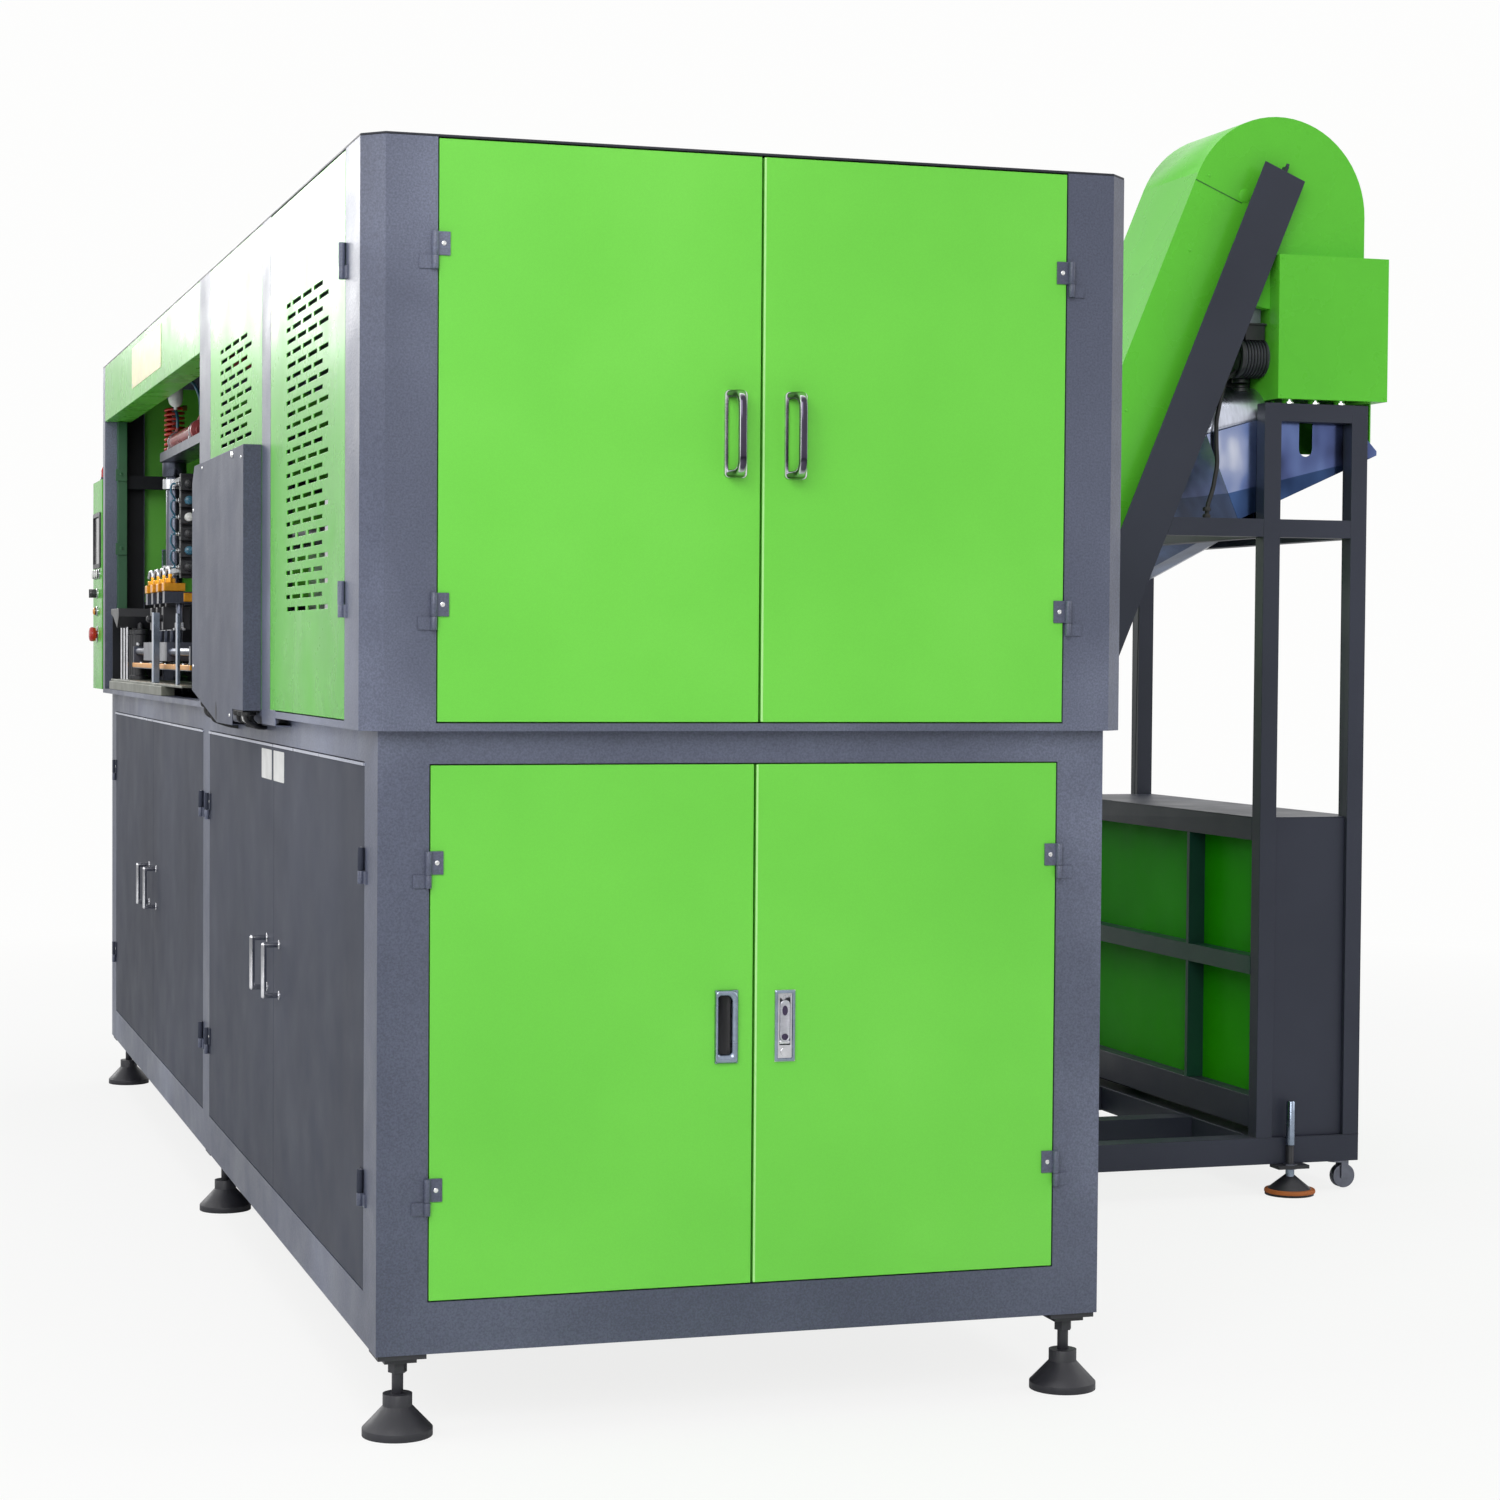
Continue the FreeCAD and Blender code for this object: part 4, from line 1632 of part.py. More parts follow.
def console():
    """Operator console on the rear end, facing left, with its screen and push buttons."""
    middle_y = "(cabinet_length + console_length / 2)"
    case = box("console_case", (UPPER_LEFT, "cabinet_length", "console_bottom"),
               ("console_depth", "console_length", "console_height"))
    screen_at = (UPPER_LEFT, "cabinet_length + screen_margin", "console_bottom + screen_row")
    screen_size = ("screen_depth", "console_length - 2 * screen_margin", "screen_height")
    screen_pocket = box("screen_pocket", screen_at, screen_size)
    stop_z = "(console_bottom + stop_row)"
    stop_hole = rod("stop_hole", (UPPER_LEFT, middle_y, stop_z), "button_radius + pin_clearance",
                    "stop_depth", "x")
    node("console_box", cut("console_shell", case, screen_pocket, stop_hole))
    button_x = f"{UPPER_LEFT} - button_reach"
    controls = [box("screen", screen_at, screen_size)]
    for number in range(int(read("button_count"))):
        y = f"{middle_y} + ({number} - (button_count - 1) / 2) * button_pitch"
        controls.append(rod(f"button_{number}", (button_x, y, "console_bottom + button_row"),
                            "button_radius", "button_reach", "x"))
    controls.append(rod("amber_button", (button_x, middle_y, "console_bottom + amber_row"),
                        "button_radius", "button_reach", "x"))
    selector_at = (f"{UPPER_LEFT} - selector_reach", middle_y, "console_bottom + selector_row")
    controls.append(rod("selector", selector_at, "button_radius", "selector_reach", "x"))
    node("console_controls", *controls)
    stop_at = (f"{UPPER_LEFT} - stop_reach", middle_y, stop_z)
    head = rod("stop_head_disc", stop_at, "stop_radius", "stop_head", "x")
    stem = rod("stop_stem", stop_at, "button_radius", "stop_reach + stop_depth / 2", "x")
    node("emergency_button", fuse("stop", head, stem))


# ---------------------------------------------------------------- the whole machine

def build():
    lower_frame()
    lower_panels()
    upper_frame()
    roof_panel()
    header_panel()
    side_vent_panel()
    upper_panels()
    moving_halves = hinges()
    front_doors(moving_halves)
    pulls()
    cup_pull()
    latch()
    side_doors(moving_halves)
    vent_door(moving_halves)
    junction_box()
    levelling_feet()
    elevator_frame()
    base_panels()
    conveyor_housing()
    belt_and_drums()
    motor_cover()
    gearmotor()
    sorter()
    loading_hopper()
    preform_rail()
    caster()
    clamp_unit()
    transfer()
    moulds()
    stretch_unit()
    air_hose()
    oven_bank()
    electric_panel()
    console()
    doc.recompute()


def check():
    """Stop if any object failed or any piece is empty or invalid."""
    for item in doc.Objects:
        if "Invalid" in item.State or "Error" in item.State:
            raise RuntimeError(f"{item.Name} failed: {item.State}")
    for piece in nodes:
        if piece.Shape.isNull() or not piece.Shape.isValid() or not piece.Shape.Solids:
            raise RuntimeError(f"{piece.Label} is empty or invalid")


def centre_on_footprint():
    """Move every piece so that the origin is the centre of the whole footprint."""
    whole = FreeCAD.BoundBox()
    for piece in nodes:
        whole.add(piece.Shape.BoundBox)
    shift = Vector(-whole.Center.x, -whole.Center.y, -whole.ZMin)
    for piece in nodes:
        piece.Placement = FreeCAD.Placement(shift, FreeCAD.Rotation())
    doc.recompute()
    return shift


build()
check()
origin_shift = centre_on_footprint()
check()
os.makedirs("parts", exist_ok=True)
for piece in nodes:
    piece.Shape.exportStep(f"parts/{piece.Label}.step")
print(len(nodes), "pieces, shifted by", origin_shift)
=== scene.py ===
"""Looks for the linear blow moulding machine and its preform elevator.

Metres, +Z up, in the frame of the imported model: the origin is the centre of the footprint,
+Y runs from the front doors to the rear end and +X towards the elevator.
"""

import math

import bmesh
import bpy
from mathutils import Matrix, Vector


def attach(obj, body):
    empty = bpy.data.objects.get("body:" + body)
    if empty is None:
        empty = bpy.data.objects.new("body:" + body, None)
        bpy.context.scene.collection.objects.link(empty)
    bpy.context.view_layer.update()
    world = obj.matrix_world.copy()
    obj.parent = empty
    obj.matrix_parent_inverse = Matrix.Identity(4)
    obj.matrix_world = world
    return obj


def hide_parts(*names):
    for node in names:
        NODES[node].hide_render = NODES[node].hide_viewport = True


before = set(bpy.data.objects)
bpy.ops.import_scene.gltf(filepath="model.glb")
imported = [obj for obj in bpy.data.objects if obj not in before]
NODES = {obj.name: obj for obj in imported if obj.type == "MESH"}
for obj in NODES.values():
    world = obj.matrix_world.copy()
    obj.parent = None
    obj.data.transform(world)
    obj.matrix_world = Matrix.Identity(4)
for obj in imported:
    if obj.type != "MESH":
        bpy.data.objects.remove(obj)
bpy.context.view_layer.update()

# the machine was measured with the lower cabinet's front left corner at x = 0, y = 0
ORIGIN_X = 1.2685
ORIGIN_Y = 2.126

# the camera: its place in machine millimetres, its turns in radians, its lens in millimetres
CAMERA_PLACE = (-843.0, -4574.7, 1213.3)
YAW, PITCH, ROLL = 0.3043, -0.0317, 0.0073
LENS = 72.875
SURROUND = (0.985, 0.985, 0.98, 1)

# the inclined conveyor: lean in degrees, the head's centre, the belt's span and the housing's cheeks
LEAN = 22.5
HEAD_X = 2345
HEAD_Z = 2213
SPAN = 2039.63
NEAR_CHEEK, FAR_CHEEK = 1630, 1920

# the fold across the feed pan's front: its direction in the plane, and its level along it, in metres; the pan's
# colour is painted reflection above it and painted shade below it
FOLD_WAY = (-0.2417, 0.0, 0.9703)
FOLD_LEVEL = 1.3028

# the spiral hose: the axis and foot of its coil, and its turns
COIL_X, COIL_Y, COIL_LOW = 120, 3635, 1739.3
COIL_TURNS, COIL_PITCH, COIL_RADIUS = 9, 13, 24
POINTS_A_TURN = 16

# the blow station: top of its base plates and of the transfer's plate, its grippers and its valves' middles
BED_TOP = 1132
TRANSFER_TOP = 1177.4
GRIPPERS, GRIPPER_MIDDLE, GRIPPER_PITCH = 4, 3140, 125
VALVES, VALVE_LOW, VALVE_STEP = 6, 1425, 43

# the lower ends of the hinges, and the doors they carry
UPPER_HINGES, LOWER_HINGES, VENT_HINGES = (1246, 1792), (347, 851), (1265, 1789)
FRONT_DOORS = ("upper_left_door", "upper_right_door", "lower_left_door", "lower_right_door")
SIDE_DOORS = ("side_door_1", "side_door_2", "side_door_3", "side_door_4")


def at(x, y, z):
    """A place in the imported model's frame from millimetres measured at the lower cabinet's corner."""
    return Vector((x / 1000 - ORIGIN_X, y / 1000 - ORIGIN_Y, z / 1000))


# ---------------------------------------------------------------- camera, lights, floor

class Wiring:
    """A node tree being wired together."""

    def __init__(self, owner):
        owner.use_nodes = True
        self.tree = owner.node_tree
        self.tree.nodes.clear()

    def node(self, kind, sockets=None, **settings):
        """A new node with its own settings, and values or links on its sockets."""
        made = self.tree.nodes.new("ShaderNode" + kind)
        for setting, value in settings.items():
            setattr(made, setting, value)
        for socket, value in (sockets or {}).items():
            self.feed(made.inputs[socket], value)
        return made

    def feed(self, socket, value):
        """Links a socket to another node's output, or gives it a constant."""
        if isinstance(value, bpy.types.NodeSocket):
            self.tree.links.new(value, socket)
        else:
            socket.default_value = value


def aim_camera():
    """The photograph's own view, worked out from the cabinet's parallel edges."""
    forward = Vector((math.sin(YAW) * math.cos(PITCH), math.cos(YAW) * math.cos(PITCH), math.sin(PITCH)))
    level = Vector((math.cos(YAW), -math.sin(YAW), 0))
    upright = level.cross(forward)
    right = level * math.cos(ROLL) + upright * math.sin(ROLL)
    up = upright * math.cos(ROLL) - level * math.sin(ROLL)
    data = bpy.data.cameras.new("camera")
    data.lens = LENS
    data.sensor_width = 36
    data.clip_end = 100
    camera = bpy.data.objects.new("camera", data)
    bpy.context.scene.collection.objects.link(camera)
    turn = Matrix((right, up, -forward)).transposed().to_4x4()
    camera.matrix_world = Matrix.Translation(at(*CAMERA_PLACE)) @ turn
    bpy.context.scene.camera = camera


def soft_light(name, place, target, width, height, power):
    """A rectangular lamp that lights softly and is never seen itself."""
    data = bpy.data.lights.new(name, "AREA")
    data.shape = "RECTANGLE"
    data.size = width
    data.size_y = height
    data.energy = power
    lamp = bpy.data.objects.new(name, data)
    bpy.context.scene.collection.objects.link(lamp)
    lamp.location = place
    lamp.rotation_euler = (Vector(target) - Vector(place)).to_track_quat("-Z", "Y").to_euler()
    lamp.visible_camera = False
    return lamp


def studio():
    """Soft lamps and a white surround; the last lamp only gives the left side its sheen."""
    soft_light("front_lamp", (-3.4, -7.2, 4.2), (-0.2, -1, 0.9), 5, 4, 270)
    soft_light("left_lamp", (-6.5, -0.5, 3.6), (-1, 0.3, 1.0), 5, 4, 118)
    soft_light("right_lamp", (6.5, -3.0, 3.6), (1, 0, 1.2), 4, 4, 90)
    soft_light("top_lamp", (0, 0.5, 6.5), (0, 0, 0), 6, 6, 150)
    sheen = soft_light("sheen_lamp", (-4.4, 9.5, 4.3), (-1, 1, 1.6), 5, 2.8, 255)
    sheen.visible_diffuse = False
    bpy.context.scene.view_settings.view_transform = "Standard"
    world = bpy.data.worlds.new("world")
    bpy.context.scene.world = world
    wiring = Wiring(world)
    seen = wiring.node("Background", {"Color": SURROUND, "Strength": 1})
    dim = wiring.node("Background", {"Color": (0.95, 0.97, 1, 1), "Strength": 0.36})
    ray = wiring.node("LightPath").outputs
    white = wiring.node("Math", {0: ray["Is Camera Ray"], 1: ray["Is Glossy Ray"]}, operation="MAXIMUM")
    white = wiring.node("Math", {0: white.outputs[0], 1: ray["Is Transmission Ray"]}, operation="MAXIMUM")
    mix = wiring.node("MixShader", {"Fac": white.outputs[0], 1: dim.outputs[0], 2: seen.outputs[0]})
    wiring.node("OutputWorld", {"Surface": mix.outputs[0]})


def lay_floor():
    """A pale floor that keeps the machine's shadow and fades into the white surround."""
    mesh = bpy.data.meshes.new("floor")
    build = bmesh.new()
    bmesh.ops.create_grid(build, x_segments=2, y_segments=2, size=40)
    build.to_mesh(mesh)
    build.free()
    floor = bpy.data.objects.new("floor", mesh)
    bpy.context.scene.collection.objects.link(floor)
    material = bpy.data.materials.new("floor")
    wiring = Wiring(material)
    diffuse = wiring.node("BsdfDiffuse", {"Color": (0.94, 0.94, 0.935, 1)})
    glow = wiring.node("Emission", {"Color": SURROUND, "Strength": 1})
    reach = wiring.node("VectorMath", {0: wiring.node("TexCoord").outputs["Object"]}, operation="LENGTH")
    fade = wiring.node("MapRange", {"Value": reach.outputs["Value"], "From Min": 2.2, "From Max": 6.5,
                                    "To Min": 0.84, "To Max": 1})
    camera_ray = wiring.node("LightPath").outputs["Is Camera Ray"]
    share = wiring.node("Math", {0: camera_ray, 1: fade.outputs["Result"]}, operation="MULTIPLY")
    mix = wiring.node("MixShader", {"Fac": share.outputs[0], 1: diffuse.outputs[0], 2: glow.outputs[0]})
    wiring.node("OutputMaterial", {"Surface": mix.outputs[0]})
    mesh.materials.append(material)


# ---------------------------------------------------------------- materials

def linear(colour):
    """A shader's colour from 8-bit red, green and blue, from a grey, or from one that is linear already."""
    if isinstance(colour, (int, float)):
        return (colour, colour, colour, 1)
    if len(colour) == 4:
        return colour
    values = [value / 255 for value in colour]
    return (*(value / 12.92 if value <= 0.04045 else ((value + 0.055) / 1.055) ** 2.4 for value in values), 1)


def darker(colour, share):
    """A linear colour, dimmed."""
    return (*(value * share for value in colour[:3]), 1)


class Shader(Wiring):
    """A Principled material being wired together."""

    def __init__(self, name):
        self.material = bpy.data.materials.new(name)
        super().__init__(self.material)
        self.surface = self.node("BsdfPrincipled")
        self.node("OutputMaterial", {"Surface": self.surface.outputs[0]})
        self.place = self.node("TexCoord").outputs["Object"]

    def fix(self, values):
        """Constants on the shader's own sockets."""
        for socket, value in values.items():
            self.surface.inputs[socket].default_value = value

    def noise(self, scale, detail, rough=0.5, stretch=(1, 1, 1)):
        spread = self.node("Mapping", {"Vector": self.place, "Scale": stretch})
        return self.node("TexNoise", {"Vector": spread.outputs[0], "Scale": scale, "Detail": detail,
                                      "Roughness": rough}).outputs["Fac"]

    def cells(self, scale):
        grain = self.node("TexVoronoi", {"Vector": self.place, "Scale": scale}, feature="SMOOTH_F1")
        return grain.outputs["Distance"]

    def ramp(self, source, stops):
        """Colours or greys at positions along a value."""
        node = self.node("ValToRGB", {"Fac": source})
        steps = node.color_ramp.elements
        while len(steps) < len(stops):
            steps.new(0.5)
        for step, (where, colour) in zip(steps, stops):
            step.position = where
            step.color = linear(colour)
        return node.outputs["Color"]

    def blend(self, share, first, second, kind="MIX"):
        return self.node("Mix", {0: share, 6: first, 7: second}, data_type="RGBA", blend_type=kind).outputs[2]

    def colour(self, source):
        self.feed(self.surface.inputs["Base Color"], source)

    def roughness(self, scale, detail, low, high):
        """A roughness that drifts between two values."""
        drift = self.ramp(self.noise(scale, detail), [(0.3, low), (0.7, high)])
        self.feed(self.surface.inputs["Roughness"], drift)

    def bump(self, height, strength, distance):
        """One more layer of relief."""
        node = self.node("Bump", {"Height": height, "Strength": strength, "Distance": distance})
        normal = self.surface.inputs["Normal"]
        if normal.is_linked:
            self.feed(node.inputs["Normal"], normal.links[0].from_socket)
        self.feed(normal, node.outputs[0])


def paint(name, base, light, dark, rough, orange_peel, gloss=0.5, coat=0.0):
    """Powder coat: slow tone changes, faint dust, fine orange peel."""
    shader = Shader(name)
    tone = shader.ramp(shader.noise(1.4, 4), [(0.3, dark), (0.5, base), (0.72, light)])
    speck = shader.ramp(shader.noise(900, 2), [(0.46, 0.93), (0.56, 1.0)])
    shader.colour(shader.blend(0.6, tone, speck, "MULTIPLY"))
    shader.roughness(7, 5, rough - 0.05, rough + 0.07)
    shader.bump(shader.noise(orange_peel, 2), 0.12, 0.0006)
    shader.bump(shader.noise(2.0, 1), 0.02, 0.004)
    shader.fix({"Coat Weight": coat, "Coat Roughness": 0.2, "Specular IOR Level": gloss})
    return shader.material


def hammered(name, base, light, dark, rough, grain):
    """Wrinkled grey enamel: small glossy cells, with a painted highlight that makes them lighter where they
    would catch the light.
    """
    shader = Shader(name)
    fine = shader.noise(grain * 1.7, 3, 0.6)
    tone = shader.ramp(shader.noise(1.1, 4), [(0.3, dark), (0.52, base), (0.75, light)])
    # random speckle that also paints a highlight: the colour is lighter where the relief's noise is high
    mottle = shader.ramp(fine, [(0.36, 0.72), (0.64, 1.2)])
    shader.colour(shader.blend(0.8, tone, mottle, "MULTIPLY"))
    shader.roughness(9, 4, rough - 0.06, rough + 0.08)
    shader.bump(shader.cells(grain), 0.35, 0.0009)
    shader.bump(fine, 0.3, 0.0006)
    return shader.material


def metal(name, base, rough, stretch=(1, 1, 1), grain=60):
    """Brushed or polished metal with faint streaks and smears."""
    shader = Shader(name)
    bright = linear(base)
    streak = shader.noise(grain, 4, 0.6, stretch)
    shader.colour(shader.ramp(streak, [(0.35, darker(bright, 0.82)), (0.65, bright)]))
    shader.roughness(11, 4, rough - 0.05, rough + 0.08)
    shader.bump(streak, 0.12, 0.0004)
    shader.fix({"Metallic": 1.0})
    return shader.material


def plastic(name, base, rough, grain=700, coat=0.0):
    """Moulded plastic or rubber with a fine grain."""
    shader = Shader(name)
    bright = linear(base)
    shader.colour(shader.ramp(shader.noise(18, 4), [(0.3, darker(bright, 0.8)), (0.7, bright)]))
    shader.roughness(30, 3, rough - 0.06, rough + 0.08)
    shader.bump(shader.noise(grain, 2), 0.15, 0.0004)
    shader.fix({"Coat Weight": coat})
    return shader.material


def painted_reflection_plating(name, bright, dim, rough):
    """Plating with a painted reflection: dark where the surface faces the front, pale on the edges that turn up
    or to the sides.
    """
    shader = Shader(name)
    # painted reflection: the colour follows the object-space normal, dark facing the front and pale facing up
    # or to the sides
    facing = shader.node("SeparateXYZ", {0: shader.node("TexCoord").outputs["Normal"]})
    shift = shader.node("Math", {0: facing.outputs["Y"], 1: 1.0}, operation="ADD")
    tone = shader.ramp(shift.outputs[0], [(0.16, dim), (0.32, bright), (0.5, bright), (0.75, dim)])
    smear = shader.ramp(shader.noise(26, 3), [(0.35, 0.85), (0.65, 1.0)])
    shader.colour(shader.blend(1.0, tone, smear, "MULTIPLY"))
    shader.roughness(14, 3, rough, rough + 0.06)
    shader.fix({"Metallic": 1.0})
    return shader.material


def sheet_with_painted_reflection(name):
    """Bright sheet with a painted reflection of a cluttered hall; below its fold line it is turned in and
    darker, a painted shade.
    """
    shader = Shader(name)
    # painted reflection: noise patches from near-black to near-white stand in for the hall mirrored in the
    # sheet
    painted_reflection_patches = shader.noise(3.2, 3, 0.55, (1.6, 1, 0.9))
    upper = shader.ramp(painted_reflection_patches, [(0.34, (34, 36, 50)), (0.42, (78, 90, 134)), (0.52, (104, 122, 170)),
                                  (0.6, (150, 160, 192)), (0.68, (226, 228, 236))])
    lower = shader.ramp(painted_reflection_patches, [(0.36, (30, 42, 70)), (0.62, (70, 96, 142))])
    # painted shade: below the fold line the sheet takes the darker ramp
    fold = shader.node("VectorMath", {0: shader.place, 1: FOLD_WAY}, operation="DOT_PRODUCT")
    above = shader.node("Math", {0: fold.outputs["Value"], 1: FOLD_LEVEL}, operation="GREATER_THAN")
    shader.colour(shader.blend(above.outputs[0], lower, upper))
    shader.roughness(11, 4, 0.12, 0.24)
    shader.bump(shader.noise(2.4, 2), 0.3, 0.01)
    shader.fix({"Metallic": 1.0})
    return shader.material


# base, light and dark colour, roughness, grain; then gloss and coat where they aren't the usual ones
PAINTS = {
    "door_green": ((110, 209, 66), (120, 216, 76), (103, 201, 60), 0.42, 420),
    "side_green": ((98, 190, 66), (108, 200, 76), (88, 178, 58), 0.27, 420, 0.1),
    "elevator_green": ((100, 206, 56), (108, 214, 62), (92, 194, 50), 0.26, 300, 0.3),
    "base_green": ((48, 178, 4), (58, 192, 6), (38, 158, 2), 0.5, 300, 0.05),
    "dark_green": ((34, 84, 52), (46, 100, 60), (26, 68, 42), 0.4, 300),
    # dark teal that paints the braces' shade with a green reflection
    "brace_teal": ((28, 70, 58), (36, 84, 66), (20, 56, 50), 0.4, 300, 0.3),
    "side_grey": ((54, 58, 71), (64, 68, 82), (46, 49, 61), 0.55, 260, 0.14),
    "elevator_grey": ((50, 53, 66), (58, 61, 75), (42, 45, 57), 0.42, 380, 0.3),
    "roof_dark": ((40, 42, 50), (48, 50, 58), (32, 34, 42), 0.5, 300, 0.3),
    # black that stands in for the shade inside and behind the station
    "liner_black": ((20, 22, 27), (28, 30, 36), (14, 15, 19), 0.5, 300, 0.2),
    # a pale green strip that paints the highlight on the right doors' left edges
    "door_edge": ((176, 236, 146), (186, 240, 158), (160, 228, 130), 0.3, 300),
    # a pale grey strip that paints the highlight on the side doors' upper edges
    "worn_edge": ((186, 190, 204), (206, 208, 220), (140, 144, 160), 0.3, 120),
    "cylinder_red": ((176, 74, 78), (190, 92, 92), (150, 56, 60), 0.3, 300, 0.5, 0.3),
}

ENAMELS = {
    "cabinet_grey": ((84, 89, 108), (132, 138, 160), (64, 69, 87), 0.4, 190),
    "junction_grey": ((66, 71, 88), (84, 90, 110), (54, 58, 74), 0.6, 190),
}

# colour, linear where it has four values, and roughness; then the streaks' stretch and grain
METALS = {
    "chrome": ((0.72, 0.72, 0.75, 1), 0.1),
    "satin_chrome": ((196, 196, 204), 0.3, (1, 1, 8), 60),
    "stainless": ((0.62, 0.63, 0.66, 1), 0.2, (1, 8, 1), 40),
    "steel": ((0.55, 0.56, 0.58, 1), 0.28, (6, 1, 1), 50),
    "dark_steel": ((88, 92, 104), 0.3, (6, 1, 1), 50),
    "olive_steel": ((120, 122, 112), 0.42, (1, 6, 1), 30),
    "guard_steel": ((206, 210, 224), 0.3, (6, 1, 1), 30),
    "hinge_steel": ((120, 122, 134), 0.36),
    "aluminium": ((0.72, 0.73, 0.75, 1), 0.34, (1, 1, 6), 50),
    "bright_screw": ((0.8, 0.8, 0.8, 1), 0.22),
    "key_dark": ((84, 74, 98), 0.28),
    "zinc": ((148, 160, 178), 0.24),
    "brass": ((206, 168, 92), 0.24),
    "gilt": ((226, 158, 52), 0.34, (1, 8, 1), 40),
}

# colour, roughness, and then the grain and the coat where they aren't the usual ones
PLASTICS = {
    "foot_black": ((44, 44, 50), 0.45, 300),
    "moulded_black": ((36, 37, 42), 0.42, 400),
    "cup_dark": ((26, 26, 30), 0.4, 500),
    "rubber": ((22, 22, 24), 0.6, 600),
    "belt": ((40, 92, 60), 0.6, 400),
    "motor": ((52, 56, 64), 0.45, 300),
    "screen": ((24, 26, 30), 0.2, 200, 0.5),
    "switchgear": ((196, 196, 190), 0.5),
    "hose_red": ((206, 52, 30), 0.3, 200, 0.3),
    "stop_red": ((190, 28, 22), 0.32, 200, 0.3),
    "amber": ((232, 150, 30), 0.3, 200, 0.3),
    "rust_orange": ((196, 110, 52), 0.7, 300),
    "tube_blue": ((54, 112, 138), 0.3, 300, 0.3),
    "seam_green": ((40, 112, 24), 0.5),
    "filter_bowl": ((214, 218, 214), 0.16, 100, 0.4),
    "plate_cream": ((226, 216, 152), 0.34, 200),
    "sticker_white": ((236, 236, 234), 0.4, 200),
}

MATERIAL_OF = {
    "door_green": (*FRONT_DOORS, "upper_panels"),
    "side_green": ("vent_door", "side_vent_panel", "header_panel", "console_box"),
    "elevator_green": ("conveyor_housing", "motor_cover"),
    "base_green": ("base_panels",),
    "cabinet_grey": ("lower_frame", "upper_frame", "hinge_pivots", *(door + "_hinges" for door in FRONT_DOORS)),
    "roof_dark": ("roof_panel",),
    "side_grey": ("lower_panels", *SIDE_DOORS),
    "elevator_grey": ("elevator_frame",),
    "zinc": ("recessed_pull",),
    "chrome_painted_reflection": ("upper_left_pull", "upper_right_pull"),
    "chrome": ("flush_latch", "latch_lever", *(door + "_handle" for door in SIDE_DOORS)),
    "foot_black": ("levelling_feet",),
    "hinge_steel": ("caster_fork", "caster_wheel"),
    "pan_painted_reflection_and_shade": ("sorter_trough",),
    "stainless": ("loading_hopper", "preform_rail", "sorter_roller_left", "sorter_roller_right", "head_drum",
                  "tail_drum"),
    "belt": ("cleated_belt",),
    "motor": ("gearmotor",),
    "steel": ("stretch_carriage", "clamp_unit", "oven_bank"),
    "junction_grey": ("junction_box",),
    "dark_steel": ("stretch_columns", "transfer_rail", "transfer_carriage"),
    "aluminium": ("mould_half_left", "mould_half_right"),
    "hose_red": ("air_hose",),
    "switchgear": ("electric_panel",),
    "screen": ("console_controls",),
    "stop_red": ("emergency_button",),
}


def make_materials():
    """Every material by its name."""
    made = {name: make(name, *values)
            for make, table in ((paint, PAINTS), (hammered, ENAMELS), (metal, METALS), (plastic, PLASTICS))
            for name, values in table.items()}
    # the pulls' plating carries a painted reflection
    made["chrome_painted_reflection"] = painted_reflection_plating("chrome_painted_reflection", (0.62, 0.62, 0.66, 1), (0.07, 0.06, 0.09, 1), 0.1)
    # the feed pan's sheet: painted reflection, and painted shade below its fold
    made["pan_painted_reflection_and_shade"] = sheet_with_painted_reflection("pan_painted_reflection_and_shade")
    return made


def soften(target, width):
    """Rounds a piece's sharp edges by a width in metres."""
    bevel = target.modifiers.new("bevel", "BEVEL")
    bevel.width = width
    bevel.segments = 2
    bevel.limit_method = "ANGLE"
    bevel.angle_limit = math.radians(40)
    bevel.harden_normals = True


def dress_nodes():
    """Every carried-over solid gets its material and slightly rounded edges."""
    for name, nodes in MATERIAL_OF.items():
        for node in nodes:
            solid = NODES[node]
            solid.data.materials.clear()
            solid.data.materials.append(MATERIALS[name])
            weld = solid.modifiers.new("weld", "WELD")
            weld.merge_threshold = 0.00002
            soften(solid, 0.0012)


# ---------------------------------------------------------------- mesh helpers

WAYS = {"x": (1, 0, 0), "y": (0, 1, 0), "z": (0, 0, 1), "-x": (-1, 0, 0), "-y": (0, -1, 0), "-z": (0, 0, -1)}


def along(way):
    """The turn that carries +Z to a named way, or to a vector."""
    direction = Vector(WAYS[way] if isinstance(way, str) else way).normalized()
    return direction.to_track_quat("Z", "Y").to_matrix().to_4x4()


def lean_place(x, y, z):
    """A place given in the inclined conveyor's own axes, from the head's centre."""
    angle = math.radians(LEAN)
    return at(HEAD_X + x * math.cos(angle) + z * math.sin(angle), y,
              HEAD_Z - x * math.sin(angle) + z * math.cos(angle))


def circle(sides, start=0.0):
    """The angles of a ring's points; start is the share of a step before the first one."""
    return [2 * math.pi * (side + start) / sides for side in range(sides)]


def skin(build, rings, ends="open"):
    """Faces between rings of equal count; the ends stay open, are capped, or are joined to each other."""
    pairs = list(zip(rings[:-1], rings[1:]))
    if ends == "joined":
        pairs.append((rings[-1], rings[0]))
    for lower, upper in pairs:
        for side in range(len(lower)):
            following = (side + 1) % len(lower)
            build.faces.new([lower[side], lower[following], upper[following], upper[side]])
    if ends == "capped":
        build.faces.new(rings[0])
        build.faces.new(rings[-1])


